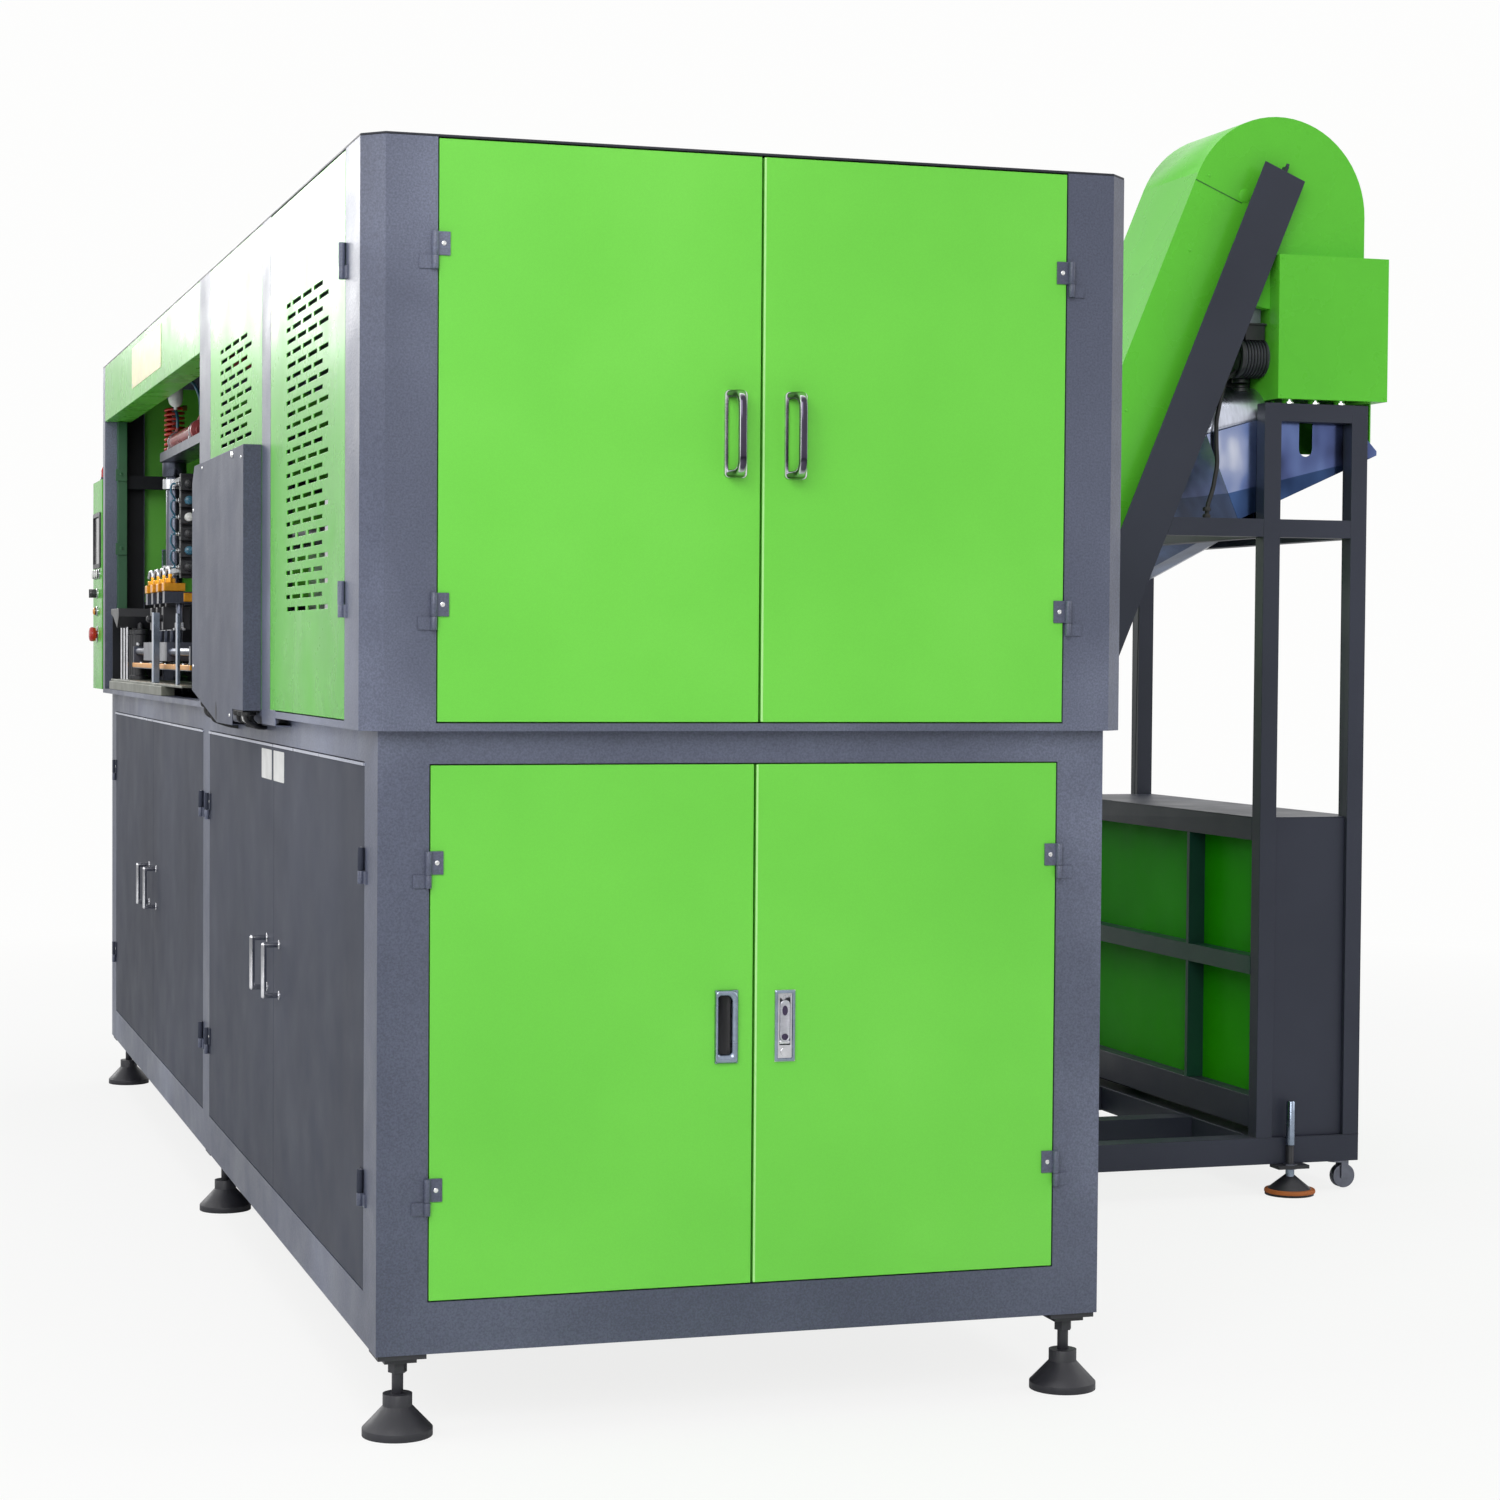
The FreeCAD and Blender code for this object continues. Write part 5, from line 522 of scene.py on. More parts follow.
def slab(build, low, high, place=at):
    """A box between two corners in machine millimetres, or in another set of axes."""
    corners = [build.verts.new(place(x, y, z)) for x in (low[0], high[0])
               for y in (low[1], high[1]) for z in (low[2], high[2])]
    for face in ((0, 1, 3, 2), (4, 6, 7, 5), (0, 4, 5, 1), (2, 3, 7, 6), (0, 2, 6, 4), (1, 5, 7, 3)):
        build.faces.new([corners[index] for index in face])


def turned(build, base, way, profile, sides=28):
    """A turned shape from (radius, height) steps in millimetres along a way from a base point."""
    place = Matrix.Translation(base) @ along(way)
    rings = []
    for radius, height in profile:
        spots = [Vector((radius * math.cos(angle), radius * math.sin(angle), height)) / 1000
                 for angle in (circle(sides, 0.5) if radius else (0,))]
        rings.append([build.verts.new(place @ spot) for spot in spots])
    for lower, upper in zip(rings[:-1], rings[1:]):
        for side in range(sides):
            following = (side + 1) % sides
            corners = [lower[side % len(lower)], lower[following % len(lower)],
                       upper[following % len(upper)], upper[side % len(upper)]]
            build.faces.new(list(dict.fromkeys(corners)))
    for ring in (rings[0], rings[-1]):
        if len(ring) > 1:
            build.faces.new(ring)


def bent(corners, rounding):
    """Points of a route in metres whose corners, in machine millimetres, are rounded."""
    steps = 6
    corners = [Vector(corner) for corner in corners]
    route = [corners[0]]
    for before, here, after in zip(corners[:-2], corners[1:-1], corners[2:]):
        start = here + (before - here).normalized() * rounding
        end = here + (after - here).normalized() * rounding
        for step in range(steps + 1):
            share = step / steps
            route.append(start.lerp(here, share).lerp(here.lerp(end, share), share))
    route.append(corners[-1])
    return [at(*point) for point in route]


def piped(build, corners, rounding, radius, sides=12):
    """A round bar or pipe along a route with rounded corners, with flat ends."""
    points = bent(corners, rounding)
    rings = []
    side_way = None
    for index, point in enumerate(points):
        ahead = points[min(index + 1, len(points) - 1)] - points[max(index - 1, 0)]
        ahead.normalize()
        if side_way is None:
            side_way = ahead.orthogonal().normalized()
        side_way = (side_way - ahead * side_way.dot(ahead)).normalized()
        other = ahead.cross(side_way)
        spokes = [side_way * math.cos(turn) + other * math.sin(turn) for turn in circle(sides)]
        rings.append([build.verts.new(point + spoke * radius / 1000) for spoke in spokes])
    skin(build, rings, "capped")


def prism(build, outline, low, high):
    """An outline of (y, z) millimetres given thickness across the machine, from x = low to high."""
    skin(build, [[build.verts.new(at(x, y, z)) for y, z in outline] for x in (low, high)], "capped")


def rounded(left, bottom, width, height, corner, head=None):
    """The outline of a rectangle with round corners; head is the radius of the upper right one."""
    steps = 5
    head = corner if head is None else head
    outline = []
    for radius, middle_x, middle_z, start in (
            (corner, left + width - corner, bottom + corner, -90),
            (head, left + width - head, bottom + height - head, 0),
            (corner, left + corner, bottom + height - corner, 90),
            (corner, left + corner, bottom + corner, 180)):
        for step in range(steps + 1):
            angle = math.radians(start + 90 * step / steps)
            outline.append((middle_x + radius * math.cos(angle), middle_z + radius * math.sin(angle)))
    return outline


def front_rings(build, steps):
    """Rings of points on the front face from (outline, depth) steps."""
    return [[build.verts.new(at(across, depth, up)) for across, up in outline] for outline, depth in steps]


def inset_steps(left, low, width, height, corner, steps):
    """Rounded outlines drawn in by each step's inset, at each step's depth."""
    sharpest = 1.2
    return [(rounded(left + inset, low + inset, width - 2 * inset, height - 2 * inset,
                     max(corner - inset, sharpest)), depth) for inset, depth in steps]


def piece(build, name, material, body="machine", edge=0.0, sharp=35):
    """Make a named piece from a finished mesh: material, shading, soft edges and the body it rides on."""
    bmesh.ops.recalc_face_normals(build, faces=build.faces)
    mesh = bpy.data.meshes.new(name)
    build.to_mesh(mesh)
    build.free()
    mesh.materials.append(MATERIALS[material])
    mesh.shade_smooth()
    mesh.set_sharp_from_angle(angle=math.radians(sharp))
    made = bpy.data.objects.new(name, mesh)
    bpy.context.scene.collection.objects.link(made)
    if edge:
        soften(made, edge / 1000)
    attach(made, body)
    return made


def boxes(name, material, corners, body="machine", edge=0.0):
    """A piece of boxes, each between two corners."""
    build = bmesh.new()
    for low, high in corners:
        slab(build, low, high)
    piece(build, name, material, body, edge)


def turnings(name, material, places, way, profile, sides=28, body="machine", edge=0.0):
    """A piece of one turned shape at each place in machine millimetres."""
    build = bmesh.new()
    for place in places:
        turned(build, at(*place), way, profile, sides)
    piece(build, name, material, body, edge)


def screw_head(build, base, way, radius, socket=True):
    """A pan head with a driver recess, or a hexagon head."""
    if socket:
        shape, sides = [(1, 0), (1, 0.25), (0.86, 0.5), (0.5, 0.62), (0.42, 0.62), (0.36, 0.2), (0, 0.2)], 16
    else:
        shape, sides = [(1, 0), (1, 0.6), (0.85, 0.72), (0, 0.72)], 6
    turned(build, base, way, [(radius * wide, radius * height) for wide, height in shape], sides)


def gland(build, base, way, radius):
    """A cable gland: flange, hexagon and dome."""
    turned(build, base, way, [(radius * 1.25, 0), (radius * 1.25, 2), (radius * 1.15, 2.5)], 24)
    turned(build, base, way, [(radius * 1.15, 2), (radius * 1.15, 8), (radius, 9)], 6)
    turned(build, base, way,
           [(radius * 0.95, 8), (radius * 0.92, 16), (radius * 0.7, 20), (radius * 0.45, 21), (0, 21)], 24)


# ---------------------------------------------------------------- air system over the moulds

def spiral_hose():
    """Spiral hose on its post and two elbows, instead of the plain solids."""
    curve = bpy.data.curves.new("spiral_hose", "CURVE")
    curve.dimensions = "3D"
    curve.bevel_depth = 0.004
    curve.bevel_resolution = 5
    curve.resolution_u = 4
    spline = curve.splines.new("NURBS")
    spline.points.add(COIL_TURNS * POINTS_A_TURN)
    for index, point in enumerate(spline.points):
        angle = 2 * math.pi * index / POINTS_A_TURN
        spot = at(COIL_X + COIL_RADIUS * math.cos(angle), COIL_Y + COIL_RADIUS * math.sin(angle),
                  COIL_LOW + COIL_PITCH * index / POINTS_A_TURN)
        point.co = (*spot, 1)
    spline.order_u = 3
    spline.use_endpoint_u = True
    curve.use_fill_caps = True
    curve.materials.append(MATERIALS["hose_red"])
    hose = bpy.data.objects.new("spiral_hose", curve)
    bpy.context.scene.collection.objects.link(hose)
    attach(hose, "machine")
    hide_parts("air_hose")

    build = bmesh.new()
    turned(build, at(COIL_X, COIL_Y, 1735), "z",
           [(17, 0), (17, 4), (9, 6), (7, 9), (7, 128), (11, 130), (11, 142), (8, 146), (8, 152), (0, 152)])
    post = piece(build, "hose_post", "steel", edge=0.4)
    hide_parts("air_hose")
    build = bmesh.new()
    for height in (COIL_LOW, COIL_LOW + COIL_TURNS * COIL_PITCH):
        slab(build, (COIL_X + 18, COIL_Y - 22, height - 7), (COIL_X + 31, COIL_Y - 3, height + 7))
        turned(build, at(COIL_X + COIL_RADIUS, COIL_Y - 3, height), "y",
               [(7, 0), (7, 5), (5.6, 7), (5.6, 9)], 20)
        slab(build, (COIL_X, COIL_Y - 16, height - 4), (COIL_X + 20, COIL_Y - 8, height + 4))
    elbows = piece(build, "hose_elbows", "brass", edge=1.2)


def air_cylinder():
    """The lying air cylinder with its ports, clamps and pipes."""
    x, axis = 120, 1761
    ports = (3088, 3566)
    build = bmesh.new()
    turned(build, at(x, 3067, axis), "y",
           [(13, 0), (13, 6), (25.5, 7), (26, 9), (26, 30), (24.5, 32), (23, 33),
            (23, 487), (24.5, 488), (26, 490), (26, 511), (25.5, 513), (13, 514), (13, 520)], 40)
    for y in ports:
        turned(build, at(x, y, axis + 24), "z", [(8, 0), (8, 5), (6, 6), (6, 10), (3, 11), (3, 14)], 20)
    barrel = piece(build, "air_cylinder_body", "cylinder_red", edge=0.6)
    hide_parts("air_hose")
    build = bmesh.new()
    for y in (3100, 3550):
        turned(build, at(x, y, axis), "y", [(27.5, 0), (27.5, 12)], 40)
        slab(build, (x - 28, y, 1735), (x + 28, y + 12, 1746))
        for screw in (x - 23, x + 23):
            screw_head(build, at(screw, y + 6, 1746), "z", 4)
    piece(build, "air_cylinder_clamps", "steel", edge=0.6)
    build = bmesh.new()
    near, far = ports
    piped(build, [(x, near, 1799), (x, near, 1840), (96, 3020, 1872), (60, 2960, 1880), (60, 2700, 1885)],
          26, 4)
    piped(build, [(x, far, 1799), (x, far, 1832), (112, 3600, 1866), (100, 3612, 1884), (101, 3632, 1884)],
          16, 4)
    piece(build, "air_pipes", "tube_blue")


# ---------------------------------------------------------------- what shows of the blow station

def station_columns():
    """Collars and nuts on the four columns."""
    build = bmesh.new()
    for x in (120, 1080):
        for y in (2560, 3635):
            turned(build, at(x, y, 1126), "z",
                   [(38, 0), (38, 14), (34, 17), (30, 18), (30, 40), (27, 43), (22.4, 43)], 36)
            turned(build, at(x, y, 1671), "z", [(22.4, 0), (30, 2), (32, 5), (32, 39.5)], 36)
            turned(build, at(x, y, 1735), "z", [(20, 0), (20, 13), (18, 15), (0, 15)], 6)
    piece(build, "column_collars", "dark_steel", edge=0.6)


def transfer_plate():
    """The transfer's gilt plate and its screws."""
    boxes("transfer_gilt_plate", "gilt", [((12.6, 2419, 1165.6), (91.4, 3661, TRANSFER_TOP))], edge=1.5)
    build = bmesh.new()
    for y in (2470, 2640, 3000, 3330, 3560):
        for x in (26, 78):
            screw_head(build, at(x, y, TRANSFER_TOP), "z", 5)
    for y in (2434, 3648):
        for x in (27, 77):
            turned(build, at(x, y, 1224), "z", [(6, 0), (6, 6), (5, 7), (3, 7), (3, 3), (0, 3)], 18)
    piece(build, "transfer_screws", "steel")


def grippers():
    """The carriage's grippers, their fittings, and the valves between them."""
    rows = [GRIPPER_MIDDLE + (number - (GRIPPERS - 1) / 2) * GRIPPER_PITCH for number in range(GRIPPERS)]
    build = bmesh.new()
    for y in rows:
        slab(build, (12, y - 22, 1356), (64, y + 22, 1376))
        slab(build, (60, y - 26, 1330), (112, y - 10, 1352))
        slab(build, (60, y + 10, 1330), (112, y + 26, 1352))
        turned(build, at(30, y, 1376), "z",
               [(13, 0), (13, 10), (11, 12), (5, 12), (5, 22), (4, 24), (0, 24)], 22)
    piece(build, "gripper_blocks", "gilt", "transfer_carriage", edge=1.5)
    build = bmesh.new()
    for y in rows:
        turned(build, at(52, y, 1260.4), "z", [(15, 0), (15, 5), (11, 7), (11, 18), (8.5, 20)], 24)
        turned(build, at(52, y, 1326), "z", [(8.5, 0), (12, 2), (12, 4)], 24)
        for way in (-1, 1):
            turned(build, at(95, y + way * 18, 1352), "z", [(6, 0), (6, 4), (3, 4), (3, 2), (0, 2)], 16)
        piped(build, [(30, y, 1398), (30, y, 1412), (30, y + 60, 1412), (30, y + 84, 1398)], 10, 5)
    piece(build, "gripper_fittings", "steel", "transfer_carriage", edge=0.5)
    build = bmesh.new()
    for row in rows[:-1]:
        y = row + 62
        slab(build, (18, y - 17, 1262), (84, y + 17, 1318))
        slab(build, (26, y - 12, 1318), (70, y + 12, 1334))
        turned(build, at(18, y, 1290), "-x", [(9, 0), (9, 8), (6, 9), (6, 12), (0, 12)], 20)
    piece(build, "gripper_valves", "moulded_black", "transfer_carriage", edge=1.5)


def station_base():
    """Lift cylinders and rods that stand on the base plates, and two flat bars."""
    build = bmesh.new()
    for y in (3688, 3752, 3816):
        turned(build, at(36, y, BED_TOP), "z",
               [(22, 0), (22, 10), (17, 12), (17, 120), (20, 122), (20, 134), (8, 136), (8, 168)])
    prism(build, [(3660, 1322), (3862, 1322), (3862, 1308), (3800, 1300), (3700, 1270), (3660, 1300)],
          -24, 60)
    piece(build, "lift_cylinders", "moulded_black", edge=0.8)
    build = bmesh.new()
    for y in (3700, 3770, 3845):
        turned(build, at(4, y, BED_TOP), "z", [(4, 0), (4, 150), (6, 152), (6, 162), (0, 162)], 18)
    for y in (2452, 2490, 2900):
        turned(build, at(102, y, BED_TOP), "z", [(8, 0), (8, 130), (11, 132), (11, 148), (0, 148)], 18)
    piece(build, "guide_rods", "chrome")
    boxes("station_base_plates", "olive_steel",
          [((-20, 2300, 1126.5), (112, 3905, BED_TOP)), ((-27, 2640, 1104.3), (4, 3880, 1126.5))], edge=1)
    boxes("station_flat_bars", "zinc",
          [((-14, 2920, BED_TOP), (1, 2956, 1303)), ((-10, 2470, BED_TOP), (-3, 2500, 1296))], edge=1)


def valve_bank():
    """The stack of valves by the rear column, with coils, elbows and loops of tube."""
    middles = [VALVE_LOW + step * VALVE_STEP for step in range(VALVES)]
    build = bmesh.new()
    slab(build, (104, 3360, 1398), (136, 3390, 1668))
    for middle in middles:
        slab(build, (100, 3326, middle - 17), (140, 3360, middle + 17))
    piece(build, "valve_bank", "moulded_black", edge=1.5)
    for name, steps, material in (("black", (0, 2, 5), "moulded_black"), ("pale", (3,), "sticker_white"),
                                  ("teal", (1, 4), "tube_blue")):
        turnings(f"valve_coils_{name}", material, [(120, 3326, middles[step]) for step in steps], "-y",
                 [(11, 0), (11, 20), (9, 22), (9, 27), (4, 28), (4, 33), (0, 33)], 22)
    build = bmesh.new()
    for level in (1410, 1640):
        turned(build, at(120, 3635, level), "z", [(31, 0), (31, 26)], 32)
        slab(build, (108, 3388, level + 4), (132, 3608, level + 22))
    for middle in middles:
        turned(build, at(100, 3343, middle), "-x",
               [(6, 0), (6, 4), (4.6, 5), (4.6, 10), (3.4, 11), (0, 11)], 18)
    piece(build, "valve_fittings", "steel", edge=0.6)
    build = bmesh.new()
    for middle in middles:
        piped(build, [(90, 3343, middle), (78, 3343, middle), (76, 3346, middle - 22),
                      (92, 3356, middle - VALVE_STEP)], 8, 2.6, 10)
    piece(build, "valve_tubes", "tube_blue")


def station_sheets():
    """The window's profile, black sheets that paint the shade behind the station, and the small framed pane."""
    build = bmesh.new()
    slab(build, (3, 3942, BED_TOP), (27, 3979.5, 1838))
    for level in (1694, 1491):
        slab(build, (-4, 3934, level - 18), (26, 3942, level + 14))
        screw_head(build, at(11, 3934, level), "-y", 5)
    piece(build, "window_profile", "dark_green", edge=1)
    # black sheets put where there is only shade
    boxes("station_shade_sheets", "liner_black",
          [((28, 4026.5, 1104.5), (81, 4029.5, 1990)), ((29, 3976.5, 1656), (1120, 3979.5, 1693)),
           ((82, 4060, 1104.5), (1118, 4064, 1345)), ((-18, 3880, BED_TOP), (82, 3883, 1306))], edge=0.6)
    boxes("station_pane", "dark_green", [((123, 3925, 1390), (156, 3928, 1486))], edge=0.6)
    boxes("station_pane_rim", "zinc",
          [((120, 3924, 1387), (123, 3929, 1489)), ((156, 3924, 1387), (159, 3929, 1489)),
           ((123, 3924, 1486), (156, 3929, 1489)), ((123, 3924, 1387), (156, 3929, 1390)),
           ((134, 3926, 1345), (146, 3929, 1387))], edge=0.4)


def air_supply():
    """The air filter, and the red main with its clips."""
    x, level = 70, 1905
    build = bmesh.new()
    turned(build, at(60, 3100, 1902), "-z", [(19, 0), (19, 14), (22, 16), (22, 34), (18, 38)])
    slab(build, (40, 3086, 1902), (82, 3114, 1938))
    piece(build, "air_filter_head", "moulded_black", edge=1)
    turnings("air_filter_bowl", "filter_bowl", [(60, 3100, 1864)], "-z",
             [(18, 0), (18, 30), (15, 40), (8, 46), (4, 47), (4, 53), (0, 53)])
    build = bmesh.new()
    piped(build, [(x, 1916, level), (x, 2660, level), (x, 2700, level), (230, 2760, level)], 38, 17, 20)
    piped(build, [(60, 2700, 1885), (60, 2700, level)], 1, 9, 14)
    piece(build, "air_main", "cylinder_red")
    build = bmesh.new()
    for y in (2010, 2300, 2600):
        turned(build, at(x, y, level), "y", [(19, 0), (19, 14)])
        slab(build, (x - 6, y, level + 17), (x + 6, y + 14, level + 35))
    piece(build, "air_main_clips", "steel", edge=0.5)


# ---------------------------------------------------------------- fittings of the doors

def hinge_screws():
    """A countersunk screw in each hinge leaf on a door."""
    doors = {"upper_left_door": (79, -35, "front", 1, UPPER_HINGES),
             "upper_right_door": (1121, -35, "front", -1, UPPER_HINGES),
             "lower_left_door": (78, -6, "front", 1, LOWER_HINGES),
             "lower_right_door": (1122, -6, "front", -1, LOWER_HINGES),
             "side_door_1": (-6, 3961, "left", -1, LOWER_HINGES),
             "side_door_2": (-6, 2073, "left", 1, LOWER_HINGES),
             "side_door_3": (-6, 1968, "left", -1, LOWER_HINGES),
             "side_door_4": (-6, 109, "left", 1, LOWER_HINGES),
             "vent_door": (-35, 128, "left", 1, VENT_HINGES)}
    for door, (x, y, face, way, levels) in doors.items():
        front = face == "front"
        spot = (x + way * 14, y + 3) if front else (x + 3, y + way * 14)
        turnings(door + "_hinge_screws", "bright_screw", [(*spot, level + 38.5) for level in levels],
                 "-y" if front else "-x",
                 [(3.6, 0), (3.6, 0.6), (2.6, 1.0), (1.8, 1.0), (1.8, 0.2), (0, 0.2)], 18, door)


def door_trim():
    """Painted highlights along the side doors' upper edges and the right doors' left edges, and the vent door's
    hinge plates.
    """
    for door, low, high in zip(SIDE_DOORS, (3052, 2072, 1057, 108), (3962, 3042, 1969, 1047)):
        # painted highlight along each side door's upper edge
        boxes(door + "_edge", "worn_edge", [((-2.6, low, 1034.6), (0.2, high, 1039.3))], door)
    for door, left, face, low, high in (("upper_right_door", 602, -29, 1107, 1988),
                                        ("lower_right_door", 605, 0, 215, 1038)):
        # painted highlight along each right door's left edge
        boxes(door + "_edge", "door_edge",
              [((left - 0.2, face - 0.3, low), (left + 3.2, face + 0.2, high))], door)
    build = bmesh.new()
    for level in VENT_HINGES:
        slab(build, (-32.6, 128, level + 20.3), (-31.9, 152.4, level + 56.7))
        turned(build, at(-35, 128, level + 20.3), "z", [(3, 0), (5.4, 0), (5.4, 36.4), (3, 36.4)], 24)
    piece(build, "vent_door_hinge_plates", "cabinet_grey", "vent_door")


def door_pulls():
    """The bow pulls: a plate with an open middle, and a bar that narrows as it leaves its feet."""
    low, width, height = 1487, 38, 138
    # the lower half of the bar: depth, rise from the plate's lower end, width and thickness
    half = [(-31, 7, 34, 13), (-38, 7, 29, 13), (-47, 7.4, 21, 13), (-56, 9.4, 16, 13), (-63, 14.5, 14, 12.5),
            (-67, 22, 13, 12), (-68, 32, 13, 12), (-68, 50, 13, 12)]
    route = [(y, low + rise, wide, thick) for y, rise, wide, thick in half]
    route += [(y, low + height - rise, wide, thick) for y, rise, wide, thick in reversed(half)]
    squareness = 0.7
    for side, left, door in (("left", 538, "upper_left_door"), ("right", 637, "upper_right_door")):
        build = bmesh.new()
        rings = []
        for index, (y, z, wide, thick) in enumerate(route):
            before, after = route[max(index - 1, 0)], route[min(index + 1, len(route) - 1)]
            ahead = Vector((0, after[0] - before[0], after[1] - before[1])).normalized()
            out = ahead.cross(Vector((1, 0, 0)))
            ring = []
            for turn in circle(24):
                across = math.copysign(abs(math.cos(turn)) ** squareness, math.cos(turn)) * wide / 2
                deep = math.copysign(abs(math.sin(turn)) ** squareness, math.sin(turn)) * thick / 2
                ring.append(build.verts.new(at(left + width / 2 + across, y + out.y * deep, z + out.z * deep)))
            rings.append(ring)
        skin(build, rings, "capped")
        # the bow's plating carries a painted reflection
        bow = piece(build, f"upper_{side}_pull_bow", "chrome_painted_reflection", door, sharp=60)
        build = bmesh.new()
        steps = inset_steps(left, low, width, height, 8,
                            [(0, -29), (0, -31.6), (1, -33.2), (6, -33.2), (7, -31.6), (7, -29)])
        skin(build, front_rings(build, steps), "joined")
        plate = piece(build, f"upper_{side}_pull_plate", "chrome", door, sharp=40)
        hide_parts(f"upper_{side}_pull")
        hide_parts(f"upper_{side}_pull")


def cup_fittings():
    """Dark lining and lip of the recessed pull."""
    build = bmesh.new()
    lining = inset_steps(538, 566, 38, 116, 11, [(6.2, -5.2), (6.7, 4), (8, 13), (12, 15.5)])
    rings = front_rings(build, lining)
    skin(build, rings)
    build.faces.new(rings[-1])
    piece(build, "cup_lining", "cup_dark", "lower_left_door")
    build = bmesh.new()
    # left, low, width, height, corner, the larger corner's radius, and the depth
    lip = [(538.2, 566.2, 37.6, 115.6, 5, 11, -4.8), (538.8, 567, 36.4, 114, 5, 11, -7),
           (540.2, 569, 32.6, 110, 5, 11, -8.4), (541.6, 575, 27.4, 100, 5, 10, -7.8),
           (543.6, 579, 22.2, 94, 5, 9, -5), (544.4, 580, 20.8, 92, 5, 8, 1)]
    skin(build, front_rings(build, [(rounded(*outline), depth) for *outline, depth in lip]), "joined")
    piece(build, "cup_lip", "zinc", "lower_left_door", sharp=60)


def latch_fittings():
    """Border of the flush latch; dished paddle, thumb rest and lock on its lever."""
    build = bmesh.new()
    border = inset_steps(637, 566, 34, 114, 3, [(0.2, -3.6), (0.4, -5.2), (3, -6.6), (4.6, -6.4), (5.6, -3.8)])
    skin(build, front_rings(build, border), "joined")
    piece(build, "latch_border", "zinc", "lower_right_door", sharp=30)

    low, high, middle, widest = 597, 664, 654, 8.6
    build = bmesh.new()
    steps = []
    for half, depth in ((widest, -3.2), (8.4, -5.2), (7.6, -5.8), (6.4, -5.6), (4.4, -4.5), (2, -4.3)):
        inset = widest - half
        outline = rounded(middle - half, low + inset, 2 * half, high - low - 2 * inset, half * 0.96)
        steps.append((outline, depth))
    skin(build, front_rings(build, steps), "capped")
    piece(build, "latch_paddle", "satin_chrome", "latch_lever", sharp=50)
    build = bmesh.new()
    steps = []
    for size, depth in ((1, -4.35), (1, -4.6), (0.86, -4.75), (0.6, -4.65)):
        wide, tall = 4.6 * size, 8 * size
        oval = [(middle + wide * math.cos(turn), 647 + tall * math.sin(turn)) for turn in circle(28)]
        steps.append((oval, depth))
    skin(build, front_rings(build, steps), "capped")
    piece(build, "latch_thumb_rest", "key_dark", "latch_lever")
    build = bmesh.new()
    turned(build, at(middle, -4.4, 605), "-y",
           [(5.4, 0), (5.4, 1), (4.8, 1.7), (3.8, 1.7), (3.6, 1.1), (0, 1.1)])
    slab(build, (middle - 0.6, -6, 602), (middle + 0.6, -5.3, 608))
    piece(build, "key_cylinder", "key_dark", "latch_lever")


def handle_rings():
    """Rings round both ends of each side door's handle."""
    for door, middle in zip(SIDE_DOORS, (3122, 2972, 1127, 977)):
        turnings(door + "_handle_rings", "chrome", [(0, middle, level) for level in (581, 674)], "-x",
                 [(8.5, 0), (8.5, 1.6), (7.4, 2.4), (5.1, 2.6)], 24, door)


# ---------------------------------------------------------------- plates and the junction box

def blank_plates():
    """Bare plates where the machine carries its notices: the header's and two small ones."""
    build = bmesh.new()
    prism(build, rounded(2630, 1873, 640, 102, 5), -30.1, -29.0)
    piece(build, "header_plate", "plate_cream", edge=0.3)
    turnings("header_plate_rivets", "steel", [(-30.1, y, z) for y in (2640, 3260) for z in (1882, 1966)], "-x",
             [(3, 0), (2.6, 0.9), (0, 1.1)], 14)
    build = bmesh.new()
    for start in (928, 1078):
        prism(build, rounded(start, 972, 126, 56, 3), -0.5, -0.05)
    piece(build, "side_blank_stickers", "sticker_white")


